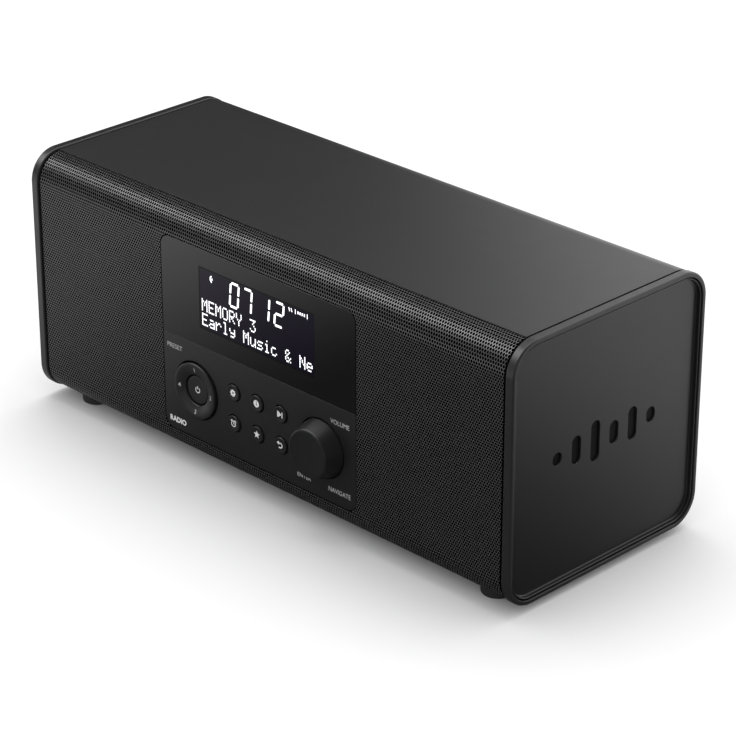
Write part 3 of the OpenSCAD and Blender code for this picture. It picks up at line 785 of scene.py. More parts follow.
def lettering(
    text: str, size: tuple[float, float], thickness: float = 0.04, bold: float = 0.0
) -> bmesh.types.BMesh:
    """Makes raised letters that fill a box, with their middle at the origin.

    Args:
        text: Plain words or digits.
        size: Width and height of the whole text. A width of 0 keeps the letters' own.
        thickness: How far they stand up.
        bold: How far each stroke is fattened, as a share of the letter's height.

    Returns:
        The mesh.
    """
    curve = bpy.data.curves.new("lettering", "FONT")
    curve.body = text
    curve.offset = bold
    curve.resolution_u = 3
    holder = bpy.data.objects.new("lettering", curve)
    flat = bpy.data.meshes.new_from_object(holder)
    mesh = bmesh.new()
    mesh.from_mesh(flat)
    bpy.data.objects.remove(holder)
    bpy.data.curves.remove(curve)
    bpy.data.meshes.remove(flat)
    bmesh.ops.remove_doubles(mesh, verts=mesh.verts, dist=1e-5)
    low = Vector([min(v.co[k] for v in mesh.verts) for k in range(3)])
    high = Vector([max(v.co[k] for v in mesh.verts) for k in range(3)])
    tall = size[1] / (high.y - low.y)
    wide = size[0] / (high.x - low.x) if size[0] else tall
    middle = (low + high) / 2
    for v in mesh.verts:
        v.co = Vector(((v.co.x - middle.x) * wide, (v.co.y - middle.y) * tall, 0.0))
    return raised(mesh, thickness)


def raised(mesh: bmesh.types.BMesh, thickness: float) -> bmesh.types.BMesh:
    """Gives a flat shape at height 0 its thickness, upwards.

    Args:
        mesh: Flat faces.
        thickness: How far they rise.

    Returns:
        The same mesh, closed.
    """
    bmesh.ops.recalc_face_normals(mesh, faces=mesh.faces)
    for f in list(mesh.faces):
        if f.normal.z < 0:
            f.normal_flip()
    made = bmesh.ops.extrude_face_region(mesh, geom=mesh.faces[:], use_keep_orig=True)["geom"]
    for v in (g for g in made if isinstance(g, bmesh.types.BMVert)):
        v.co.z += thickness
    return mesh


def bar(
    width: float, height: float, centre: tuple[float, float], turn: float = 0.0, tip: float = 0.0
) -> bmesh.types.BMesh:
    """A flat bar whose corners may be cut off.

    Args:
        width: Its width.
        height: Its height.
        centre: Its middle.
        turn: Turn in degrees.
        tip: How much of each corner is cut off.

    Returns:
        The flat mesh.
    """
    mesh = bmesh.new()
    bmesh.ops.create_grid(mesh, x_segments=1, y_segments=1, size=0.5)
    bmesh.ops.scale(mesh, vec=(width, height, 1), verts=mesh.verts)
    if tip > 0:
        bmesh.ops.bevel(
            mesh, geom=mesh.verts[:], offset=tip, segments=1, profile=0.5, affect="VERTICES", material=-1
        )
    place = shifted(*centre) @ Matrix.Rotation(math.radians(turn), 4, "Z")
    bmesh.ops.transform(mesh, matrix=place, verts=mesh.verts)
    return mesh


def disc(radius_at: Callable[[float], float], steps: int = 32, hole: float = 0.0) -> bmesh.types.BMesh:
    """A flat round shape whose radius may change round it.

    Args:
        radius_at: Gives the radius at an angle in radians.
        steps: Points round it.
        hole: Radius of a round hole in its middle.

    Returns:
        The flat mesh.
    """
    mesh = bmesh.new()
    outer = Loop.circle(mesh, 1.0, steps=steps)
    for v in {v for e in outer.edges for v in e.verts}:
        angle = math.atan2(v.co.y, v.co.x)
        v.co = v.co.normalized() * radius_at(angle)
    loops = [outer]
    if hole > 0:
        loops.append(Loop.circle(mesh, hole, steps=steps // 2))
    fill_between(mesh, loops)
    return mesh


def arrow(length: float, half_width: float, turn: float) -> bmesh.types.BMesh:
    """A flat arrow head.

    Args:
        length: From its back to its tip.
        half_width: Half of its back.
        turn: Which way it points, in degrees from the right.

    Returns:
        The flat mesh, with the middle of its length at the origin.
    """
    mesh = bmesh.new()
    bmesh.ops.create_circle(mesh, cap_ends=True, segments=3, radius=1.0)
    for v in mesh.verts:
        along = (v.co.y - 0.25) * length / 1.5
        across = v.co.x * half_width / math.sin(math.radians(60))
        v.co = Vector((along, across, 0.0))
    pointing = Matrix.Rotation(math.radians(turn), 3, "Z")
    bmesh.ops.rotate(mesh, verts=mesh.verts, cent=(0, 0, 0), matrix=pointing)
    return mesh


def sector(inner: float, outer: float, start: float, end: float, steps: int = 20) -> bmesh.types.BMesh:
    """A flat curved band.

    Args:
        inner: Inner radius.
        outer: Outer radius.
        start: First angle in degrees.
        end: Last angle in degrees.
        steps: Steps along it.

    Returns:
        The flat mesh.
    """
    mesh = bmesh.new()
    turn = Matrix.Rotation(math.radians(start), 3, "Z")
    ends = [mesh.verts.new(turn @ Vector((r, 0, 0))) for r in (inner, outer)]
    edge = mesh.edges.new(ends)
    bmesh.ops.spin(
        mesh, geom=[*ends, edge], cent=(0, 0, 0), axis=(0, 0, 1),
        angle=math.radians(end - start), steps=steps, use_duplicate=False,
    )
    return mesh


# ---- Cabinet ----


@dataclass
class Cabinet:
    """The smooth wrap, the two end caps with their side panels, and the feet."""

    corner_radius: float = 12.0
    wall: float = 3.0
    rim_band: float = 3.8
    rim_wall: float = 1.9
    web_in: float = 5.7
    spigot_in: float = 3.95
    spigot_length: float = 2.5
    rear_opening: tuple[float, float] = (224.0, 76.0)
    bar_heights: tuple[float, ...] = (5.0, 11.0, 16.0, 9.0, 13.0, 6.0)
    bar_width: float = 4.6
    bar_pitch: float = 10.0
    bar_depth: float = 0.7
    panel_depth: float = -2.1

    def __post_init__(self) -> None:
        """Reads the cabinet's sizes from the frame."""
        self.cap = NodeBox.of("right_end_cap")
        self.skin = NodeBox.of("cabinet_shell")
        self.section = (self.cap.size.y, self.cap.size.z)
        self.middle = Vector((0.0, 0.0, self.cap.centre.z))

    @property
    def proud(self) -> float:
        """How far the end caps stand proud of the skin."""
        return (self.cap.high.z - self.skin.high.z) / MM

    def build(self) -> None:
        """Builds every piece of the cabinet."""
        self.wrap()
        for side, face in (("left", Face.LEFT), ("right", Face.RIGHT)):
            self.end_cap(side, face)
            self.side_panel(side, face)
        self.feet()

    def wrap(self) -> None:
        """Builds the smooth top, back and bottom as one bent wall with the rear opening in it."""
        half = self.skin.size.x / 2
        mesh = bmesh.new()
        first = Loop.rounded(mesh, self.section, self.corner_radius, lift=-half, steps=18)
        inset = self.proud / 2
        first.step(inset, -half).step(inset, half)
        bmesh.ops.delete(mesh, geom=list({v for e in first.edges for v in e.verts}), context="VERTS")
        seam = self.skin.low.y / MM
        self.cut(mesh, (seam, 0, 0), (1, 0, 0), drop_low=True)
        wide, tall = (s / 2 for s in self.rear_opening)
        for point, normal in (((0, 0, wide), (0, 0, 1)), ((0, 0, -wide), (0, 0, 1)),
                              ((0, tall, 0), (0, 1, 0)), ((0, -tall, 0), (0, 1, 0))):
            self.cut(mesh, point, normal)
        back = self.skin.high.y / MM - 0.01
        opening = [
            f for f in mesh.faces
            if (c := f.calc_center_median()).x > back and abs(c.y) < tall and abs(c.z) < wide
        ]
        bmesh.ops.delete(mesh, geom=opening, context="FACES")
        bmesh.ops.recalc_face_normals(mesh, faces=mesh.faces)
        if sum(f.normal.x for f in mesh.faces if f.calc_center_median().x > back) < 0:
            bmesh.ops.reverse_faces(mesh, faces=mesh.faces)
        piece = Piece("cabinet_wrap", CABINET_SATIN, nodes=("cabinet_shell",), slot="cabinet_plastic",
                      even_normals=False)
        made = piece.finish_off(mesh, Face.RIGHT.place(self.middle), recalc=False)
        thick = made.modifiers.new("wall", "SOLIDIFY")
        thick.thickness = self.wall * MM
        thick.offset = -1.0
        thick.use_even_offset = True
        soft = made.modifiers.new("soft_edges", "BEVEL")
        soft.width = 0.1 * MM
        soft.segments = 2
        soft.limit_method = "ANGLE"
        soft.angle_limit = math.radians(50)
        soft.harden_normals = True

    @staticmethod
    def cut(
        mesh: bmesh.types.BMesh, point: Sequence[float], normal: Sequence[float], drop_low: bool = False
    ) -> None:
        """Cuts a mesh along a plane."""
        geom = [*mesh.verts, *mesh.edges, *mesh.faces]
        bmesh.ops.bisect_plane(mesh, geom=geom, plane_co=point, plane_no=normal, clear_inner=drop_low)

    def end_cap(self, side: str, face: Face) -> None:
        """Builds one raised rim with its web and its spigot.

        Args:
            side: left or right.
            face: Which way it looks.
        """
        back = -self.rim_band
        soft = 0.7
        profile = [
            *[(0.6 - x, back + 0.6 + y) for x, y in arc(0.0, 0.0, 0.6, -90, 0, 5)],
            *[(soft - x, y) for x, y in arc(0.0, -soft, soft, 180, 90, 6) for x in [-x]],
            *arc(self.rim_wall - 0.3, -0.3, 0.3, 90, 0, 3),
            (self.rim_wall, back + 1.0), (self.web_in, back + 1.0),
            (self.web_in, back - self.spigot_length), (self.spigot_in, back - self.spigot_length),
            (self.spigot_in, back),
        ]
        mesh = ring_moulding(self.section, self.corner_radius, profile, steps=20)
        origin = self.middle + Vector(face.value[2]) * self.cap.high.x
        name = f"{side}_end_cap"
        piece = Piece(f"{side}_cap_rim", CAP_SATIN, nodes=(name,), slot="end_cap_plastic")
        piece.finish_off(mesh, face.place(origin))

    def side_panel(self, side: str, face: Face) -> None:
        """Builds one recessed panel: rolled bead, steep wall, flat floor and the pressed sound bars, each
        with a near-black sheet in its floor as painted shade.

        Args:
            side: left or right.
            face: Which way it looks.
        """
        edge, back, well_in, well_back = 2.4, -2.7, 5.9, -4.4
        top, lip, roll, fillet = -0.5, 0.12, 0.4, 0.5
        profile = [
            *[(edge + lip + x, top - lip + y) for x, y in arc(0, 0, lip, 180, 90, 3)],
            *[(edge + lip + x, top - roll + y) for x, y in arc(0, 0, roll, 90, 0, 8)],
            *[(edge + lip + roll + fillet + 0.1 + x, self.panel_depth + fillet + y)
              for x, y in arc(0, 0, fillet, 180, 270, 6)],
        ]
        mesh = bmesh.new()
        guide = Loop.rounded(mesh, self.section, self.corner_radius, steps=20)
        rear = guide.step(edge, back)
        bmesh.ops.delete(mesh, geom=list({v for e in guide.edges for v in e.verts}), context="VERTS")
        inner = rear.follow(profile)
        well = rear.step(well_in, back).step(well_in, well_back)
        floor = inner.lift
        bars = []
        shade_inlay = bmesh.new()
        for k, height in enumerate(self.bar_heights):
            u = (k - (len(self.bar_heights) - 1) / 2) * self.bar_pitch
            lip = Loop.rounded(mesh, (self.bar_width + 0.3, height + 0.3), (self.bar_width + 0.3) / 2 - 0.02,
                               centre=(u, 0.0), lift=floor, steps=8)
            bars.append(lip)
            deep = lip.follow([(0.05, floor - 0.01), (0.15, floor - 0.12), (0.25, floor - self.bar_depth)])
            deep.cap()
            # A near-black sheet just above each bar's floor: painted shade in the recess.
            tint = Loop.rounded(shade_inlay, (self.bar_width - 0.1, height - 0.1), self.bar_width / 2 - 0.07,
                                centre=(u, 0.0), lift=floor - self.bar_depth + 0.03, steps=8)
            tint.cap()
            tint.step(0.0, floor - self.bar_depth - 0.2).cap()
        fill_between(mesh, [inner, *bars])
        well.cap()
        origin = self.middle + Vector(face.value[2]) * self.cap.high.x
        node = f"{side}_side_panel"
        piece = Piece(f"{side}_panel_dish", SIDE_SATIN, nodes=(node,), slot="side_panel_plastic")
        piece.finish_off(mesh, face.place(origin))
        bar_shade = Piece(f"{side}_sound_bars", SOUND_BAR_SHADE_BLACK, slot="side_panel_plastic", even_normals=False)
        bar_shade.finish_off(shade_inlay, face.place(origin))

    def feet(self) -> None:
        """Builds the four rubber feet."""
        box = NodeBox.of("rubber_feet")
        radius = 6.0
        height = (self.skin.low.z - box.low.z) / MM
        mesh = bmesh.new()
        profile = [(0, 0.25), (radius - 2.2, 0.25), (radius - 1.8, 0.0), (radius - 0.8, 0.0),
                   *[(radius - 0.8 + x, 0.8 + y) for x, y in arc(0, 0, 0.8, -90, 0, 5)][1:],
                   (radius, height - 0.01), (0, height - 0.01)]
        for sx in (-1, 1):
            for sy in (-1, 1):
                x = sx * (box.size.x / 2 - radius)
                y = sy * (box.size.y / 2 - radius)
                absorb(mesh, turned(profile, steps=40), shifted(x, y))
        piece = Piece("feet", FOOT_RUBBER, nodes=("rubber_feet",), slot="foot_rubber")
        piece.finish_off(mesh, Face.UP.place(Vector((0, 0, box.low.z))))


# ---- Grille ----


@dataclass
class Grille:
    """The perforated sheet, punched flat and then wrapped over the cabinet's two long front edges."""

    pitch: float = 1.2
    hole_radius: float = 0.52
    hole_sides: int = 8
    thickness: float = 0.8
    bend_radius: float = 11.4
    gap: float = 0.3
    margin: float = -0.7
    sliver: float = 0.012
    stretch: float = 1.25
    panel_radius: float = 4.6
    bands: tuple[float, ...] = (-88.0, -52.2, 52.2, 88.0)

    def __post_init__(self) -> None:
        """Reads the sheet's place and the panel's outline from the frame."""
        self.box = NodeBox.of("front_grille")
        window = NodeBox.of("display_window")
        self.half_width = self.box.size.x / 2
        self.flat = self.box.size.z / 2 - self.bend_radius
        self.quarter = self.bend_radius * math.pi / 2
        self.tail = self.box.size.y - self.bend_radius
        self.half_height = self.flat + self.quarter + self.tail
        self.opening = (window.size.x / 2 + self.gap, window.size.z + self.gap)

    def build(self) -> None:
        """Punches, trims, wraps and splits the sheet."""
        places = self.punched()
        per_cell = 6 + self.hole_sides
        cells = places.reshape(-1, per_cell, 2)
        middles = cells.mean(axis=1)
        clear = self.clearance(middles[:, 0], middles[:, 1])
        keep = self.outside(middles[:, 0], middles[:, 1]) > -self.pitch / 2
        edges = [-1e3, *self.bands, 1e3]
        for k, (low, high) in enumerate(zip(edges, edges[1:])):
            chosen = keep & (middles[:, 0] >= low) & (middles[:, 0] < high)
            self.band(k, cells[chosen], clear[chosen] > self.hole_radius + self.margin)

    def cell(self) -> bmesh.types.BMesh:
        """One hexagonal cell with its hole, flat.

        Returns:
            The mesh: the six corners first, and then the hole's points.
        """
        mesh = bmesh.new()
        corner = self.pitch / math.sqrt(3)
        bmesh.ops.create_circle(mesh, cap_ends=False, segments=6, radius=corner)
        bmesh.ops.create_circle(mesh, cap_ends=False, segments=self.hole_sides, radius=self.hole_radius)
        bmesh.ops.bridge_loops(mesh, edges=mesh.edges[:])
        mesh.normal_update()
        if sum(f.normal.z for f in mesh.faces) < 0:
            bmesh.ops.reverse_faces(mesh, faces=mesh.faces)
        return mesh

    def punched(self) -> np.ndarray:
        """Repeats the cell over the whole flat sheet, drawn out where the sheet is bent.

        Returns:
            Every point as (across, along the sheet).
        """
        one = self.cell()
        corners = np.array([v.co.xy for v in one.verts])
        one.free()
        row_gap = self.pitch * math.sqrt(3) / 2
        curve = (self.quarter + self.tail) / self.stretch
        rows = int((self.flat + curve) / row_gap)
        columns = int(self.half_width / self.pitch) + 1
        middles = [
            (self.pitch * (i + 0.5 * (j % 2)), row_gap * (j + 0.5))
            for j in range(-rows - 1, rows + 1)
            for i in range(-columns, columns + 1)
            if abs(self.pitch * (i + 0.5 * (j % 2))) < self.half_width
        ]
        points = (np.array(middles)[:, None, :] + corners[None, :, :]).reshape(-1, 2)
        far = np.abs(points[:, 1])
        drawn = np.where(far > self.flat, self.flat + (far - self.flat) * self.stretch, far)
        points[:, 1] = np.sign(points[:, 1]) * drawn
        return points

    def outside(self, x: np.ndarray, t: np.ndarray) -> np.ndarray:
        """How far a point lies outside the panel's opening, negative inside it.

        Args:
            x: Across.
            t: Along the sheet, from the middle.

        Returns:
            The distances.
        """
        qx = np.abs(x) - (self.opening[0] - self.panel_radius)
        qt = np.abs(t) - (self.opening[1] - self.panel_radius)
        beyond = np.hypot(np.maximum(qx, 0), np.maximum(qt, 0))
        return beyond + np.minimum(np.maximum(qx, qt), 0) - self.panel_radius

    def clearance(self, x: np.ndarray, t: np.ndarray) -> np.ndarray:
        """How far a point lies inside the sheet's nearest edge."""
        inside = np.minimum(self.half_width - np.abs(x), self.half_height - np.abs(t))
        return np.minimum(inside, self.outside(x, t))

    def trimmed(self, x: np.ndarray, t: np.ndarray) -> tuple[np.ndarray, np.ndarray]:
        """Moves points that cross an edge of the sheet back on to that edge.

        Args:
            x: Across.
            t: Along the sheet.

        Returns:
            The moved coordinates.
        """
        step = 0.01
        for _ in range(2):
            depth = np.minimum(self.outside(x, t), 0)
            slope_x = (self.outside(x + step, t) - self.outside(x - step, t)) / (2 * step)
            slope_t = (self.outside(x, t + step) - self.outside(x, t - step)) / (2 * step)
            x = x - depth * slope_x
            t = t - depth * slope_t
        return np.clip(x, -self.half_width, self.half_width), np.clip(t, -self.half_height, self.half_height)

    def wrapped(self, x: np.ndarray, t: np.ndarray) -> np.ndarray:
        """Bends the flat sheet over the cabinet's front.

        Args:
            x: Across.
            t: Along the sheet, from the middle.

        Returns:
            Points in the frame's metres.
        """
        far = np.abs(t)
        turn = np.clip((far - self.flat) / self.bend_radius, 0, math.pi / 2)
        tail = np.maximum(far - self.flat - self.quarter, 0)
        up = np.minimum(far, self.flat) + self.bend_radius * np.sin(turn)
        back = self.bend_radius * (1 - np.cos(turn)) + tail
        z = self.box.centre.z / MM + np.sign(t) * up
        y = self.box.low.y / MM + back
        return np.stack([x, y, z], axis=1) * MM

    def band(self, number: int, cells: np.ndarray, pierced: np.ndarray) -> None:
        """Makes one upright band of the sheet.

        Args:
            number: Which band, from the left.
            cells: The band's cells, flat.
            pierced: Which of them have their hole. The others stay solid along the edges.
        """
        one = self.cell()
        faces = [[v.index for v in f.verts] for f in one.faces]
        one.free()
        flat = cells.reshape(-1, 2)
        per_cell = cells.shape[1]
        places = self.wrapped(*self.trimmed(flat[:, 0], flat[:, 1]))
        whole = [list(range(6))]
        corners = [
            [c * per_cell + v for v in face] for c, open_cell in enumerate(pierced)
            for face in (faces if open_cell else whole)
        ]
        data = bpy.data.meshes.new(f"grille_band_{number + 1}")
        data.from_pydata(places.tolist(), [], corners)
        mesh = bmesh.new()
        mesh.from_mesh(data)
        bpy.data.meshes.remove(data)
        bmesh.ops.delete(mesh, geom=[v for v in mesh.verts if not v.link_faces], context="VERTS")
        bmesh.ops.remove_doubles(mesh, verts=mesh.verts, dist=0.02 * MM)
        slivers = [f for f in mesh.faces if f.calc_area() < self.sliver * MM * MM]
        bmesh.ops.delete(mesh, geom=slivers, context="FACES")
        for f in mesh.faces:
            f.smooth = True
        for e in mesh.edges:
            e.smooth = not e.is_boundary
        data = bpy.data.meshes.new(f"grille_band_{number + 1}")
        mesh.to_mesh(data)
        mesh.free()
        piece = Piece(
            data.name, GRILLE_PAINT, nodes=("front_grille",), slot="grille_steel", even_normals=False
        )
        made = piece.tie(data)
        # The hole walls get the near-black second material: painted shade inside the perforations.
        made.data.materials.append(HOLE_SHADE_BLACK.material())
        thick = made.modifiers.new("sheet", "SOLIDIFY")
        thick.thickness = self.thickness * MM
        thick.offset = -1.0
        thick.material_offset_rim = 1


# ---- Control panel and display ----


@dataclass(frozen=True)
class Hole:
    """A round hole in the panel: where it is, its radius, and whether a floor closes it."""

    centre: tuple[float, float]
    radius: float
    floor: float = 0.0
    steps: int = 40


@dataclass
class ControlPanel:
    """The matt lower plate with its holes, the seat of the window and the window."""

    plate: float = 2.4
    window: float = 1.2
    lip: float = 0.12
    panel_radius: float = 4.6
    seam_radius: float = 0.5
    display: tuple[float, float] = (62.0, 25.4)
    key_gap: float = 0.35
    ring_gap: float = 0.6
    shaft_hole: float = 3.7
    keys: tuple[str, ...] = ("settings", "info", "next", "alarm", "favourite", "back")
    flange: float = 1.0

    def __post_init__(self) -> None:
        """Reads the panel's place from the frame."""
        self.glass = NodeBox.of("display_window")
        self.width = self.glass.size.x
        self.half = self.glass.size.z
        self.origin = Vector((0.0, self.glass.low.y, self.glass.low.z))
        self.lcd = NodeBox.of("lcd_glass")

    def local(self, node: str) -> tuple[float, float]:
        """A node's middle on the panel, in millimetres."""
        place = (NodeBox.of(node).centre - self.origin) / MM
        return place.x, place.z

    def holes(self) -> list[Hole]:
        """Lists the panel's holes.

        Returns:
            The ring's hole, the knob's cup and the six key holes.
        """
        ring = NodeBox.of("preset_ring").size.x / 2
        key = NodeBox.of("info_button").size.x / 2 - self.flange
        cup = self.plate - 0.2
        return [
            Hole(self.local("preset_ring"), ring - 1.2 + self.ring_gap, steps=72),
            Hole(self.local("volume_knob"), ring - 1.2 + self.ring_gap, floor=cup, steps=72),
            *[Hole(self.local(f"{name}_button"), key + self.key_gap) for name in self.keys],
        ]

    def build(self) -> None:
        """Builds the panel, its seat and the window."""
        self.lower_plate()
        self.seat()
        self.pane()

    def lower_plate(self) -> None:
        """Builds the matt half with a soft lip round its outline and round each hole."""
        turns = [math.radians(30 * k) for k in (1, 2, 3)]
        lip = [(self.lip * (1 - math.cos(t)), -self.lip * math.sin(t)) for t in turns]
        mesh = bmesh.new()
        centre = (0.0, -self.half / 2)
        face = Loop.rounded(
            mesh, (self.width, self.half), self.seam_radius, self.panel_radius, centre=centre, steps=12
        )
        guide = face
        face = guide.step(self.lip, 0.0)
        bmesh.ops.delete(mesh, geom=list({v for e in guide.edges for v in e.verts}), context="VERTS")
        outer_back = face.follow([(self.lip - x, y) for x, y in
                                  [(self.lip * math.sin(math.radians(30 * k)),
                                    -self.lip * (1 - math.cos(math.radians(30 * k)))) for k in (1, 2, 3)]])
        outer_back = outer_back.step(0.0, -self.plate)
        fronts, backs = [face], [outer_back]
        for hole in self.holes():
            front = Loop.circle(mesh, hole.radius + self.lip, hole.centre, steps=hole.steps)
            fronts.append(front)
            wall = front.follow([
                (self.lip * math.sin(math.radians(30 * k)), -self.lip * (1 - math.cos(math.radians(30 * k))))
                for k in (1, 2, 3)
            ])
            if hole.floor > 0:
                inset = hole.radius - self.shaft_hole
                wall = wall.step(self.lip, -hole.floor).step(self.lip + inset, -hole.floor)
                backs.append(wall.step(self.lip + inset, -self.plate))
            else:
                backs.append(wall.step(self.lip, -self.plate))
        fill_between(mesh, fronts)
        fill_between(mesh, backs)
        piece = Piece("panel_lower", PANEL_MATT, nodes=("control_panel",), slot="panel_plastic")
        piece.finish_off(mesh, Face.FRONT.place(self.origin))

    def seat(self) -> None:
        """Builds the plate behind the window, with the opening that holds the display."""
        front, back = -self.window - 0.02, -self.plate
        mesh = bmesh.new()
        centre = (0.0, self.half / 2)
        outer = Loop.rounded(
            mesh, (self.width, self.half), self.panel_radius, self.seam_radius, centre=centre, lift=front
        )
        hole = Loop.rounded(mesh, (self.lcd.size.x + 1, self.lcd.size.z + 1), 0.5,
                            centre=self.local("lcd_glass"), lift=front, steps=3)
        fill_between(mesh, [outer, hole])
        fill_between(mesh, [outer.step(0.0, back), hole.step(0.0, back)])
        piece = Piece("panel_window_seat", PANEL_MATT, slot="panel_plastic")
        piece.finish_off(mesh, Face.FRONT.place(self.origin))

    def pane(self) -> None:
        """Builds the smoked window with its polished edge."""
        mesh = bmesh.new()
        centre = (0.0, self.half / 2)
        inside = 0.02
        guide = Loop.rounded(
            mesh, (self.width, self.half), self.panel_radius, self.seam_radius, centre=centre, steps=12
        )
        face = guide.step(self.lip, 0.0)
        bmesh.ops.delete(mesh, geom=list({v for e in guide.edges for v in e.verts}), context="VERTS")
        rim = [
            (self.lip - (self.lip - inside) * math.sin(math.radians(30 * k)),
             -self.lip * (1 - math.cos(math.radians(30 * k)))) for k in (1, 2, 3)
        ]
        lens = Loop.rounded(mesh, self.display, 0.4, centre=self.local("lcd_glass"), steps=3)
        fill_between(mesh, [face, lens])
        fill_between(mesh, [face.follow(rim).step(inside, -self.window), lens.step(0.0, -self.window)])
        piece = Piece("window_pane", WINDOW_SMOKE, nodes=("display_window",), slot="window_acrylic")
        piece.finish_off(mesh, Face.FRONT.place(self.origin))


SEGMENTS_OF: dict[str, str] = {"0": "abcdef", "1": "bc", "2": "abged", "7": "abc"}

GLYPHS: dict[str, str] = {
    "M": "#...# ##.## #.#.# #.#.# #...# #...# #...#",
    "E": "##### #.... #.... ####. #.... #.... #####",
    "O": ".###. #...# #...# #...# #...# #...# .###.",
    "R": "####. #...# #...# ####. #.#.. #..#. #...#",
    "Y": "#...# #...# #...# .#.#. ..#.. ..#.. ..#..",
    "N": "#...# ##..# #.#.# #.#.# #..## #...# #...#",
    "3": "##### ...#. ..#.. ...#. ....# #...# .###.",
    "&": ".##.. #..#. #.#.. .#... #.#.# #..#. .##.#",
    "a": "..... ..... .###. ....# .#### #...# .####",
    "c": "..... ..... .###. #.... #.... #...# .###.",
    "e": "..... ..... .###. #...# ##### #.... .###.",
    "i": "..#.. ..... .##.. ..#.. ..#.. ..#.. .###.",
    "l": ".##.. ..#.. ..#.. ..#.. ..#.. ..#.. .###.",
    "r": "..... ..... #.##. ##..# #.... #.... #....",
    "s": "..... ..... .#### #.... .###. ....# ####.",
    "u": "..... ..... #...# #...# #...# #..## .##.#",
    "y": "..... ..... #...# #...# .#### ....# .###.",
    " ": "..... ..... ..... ..... ..... ..... .....",
}


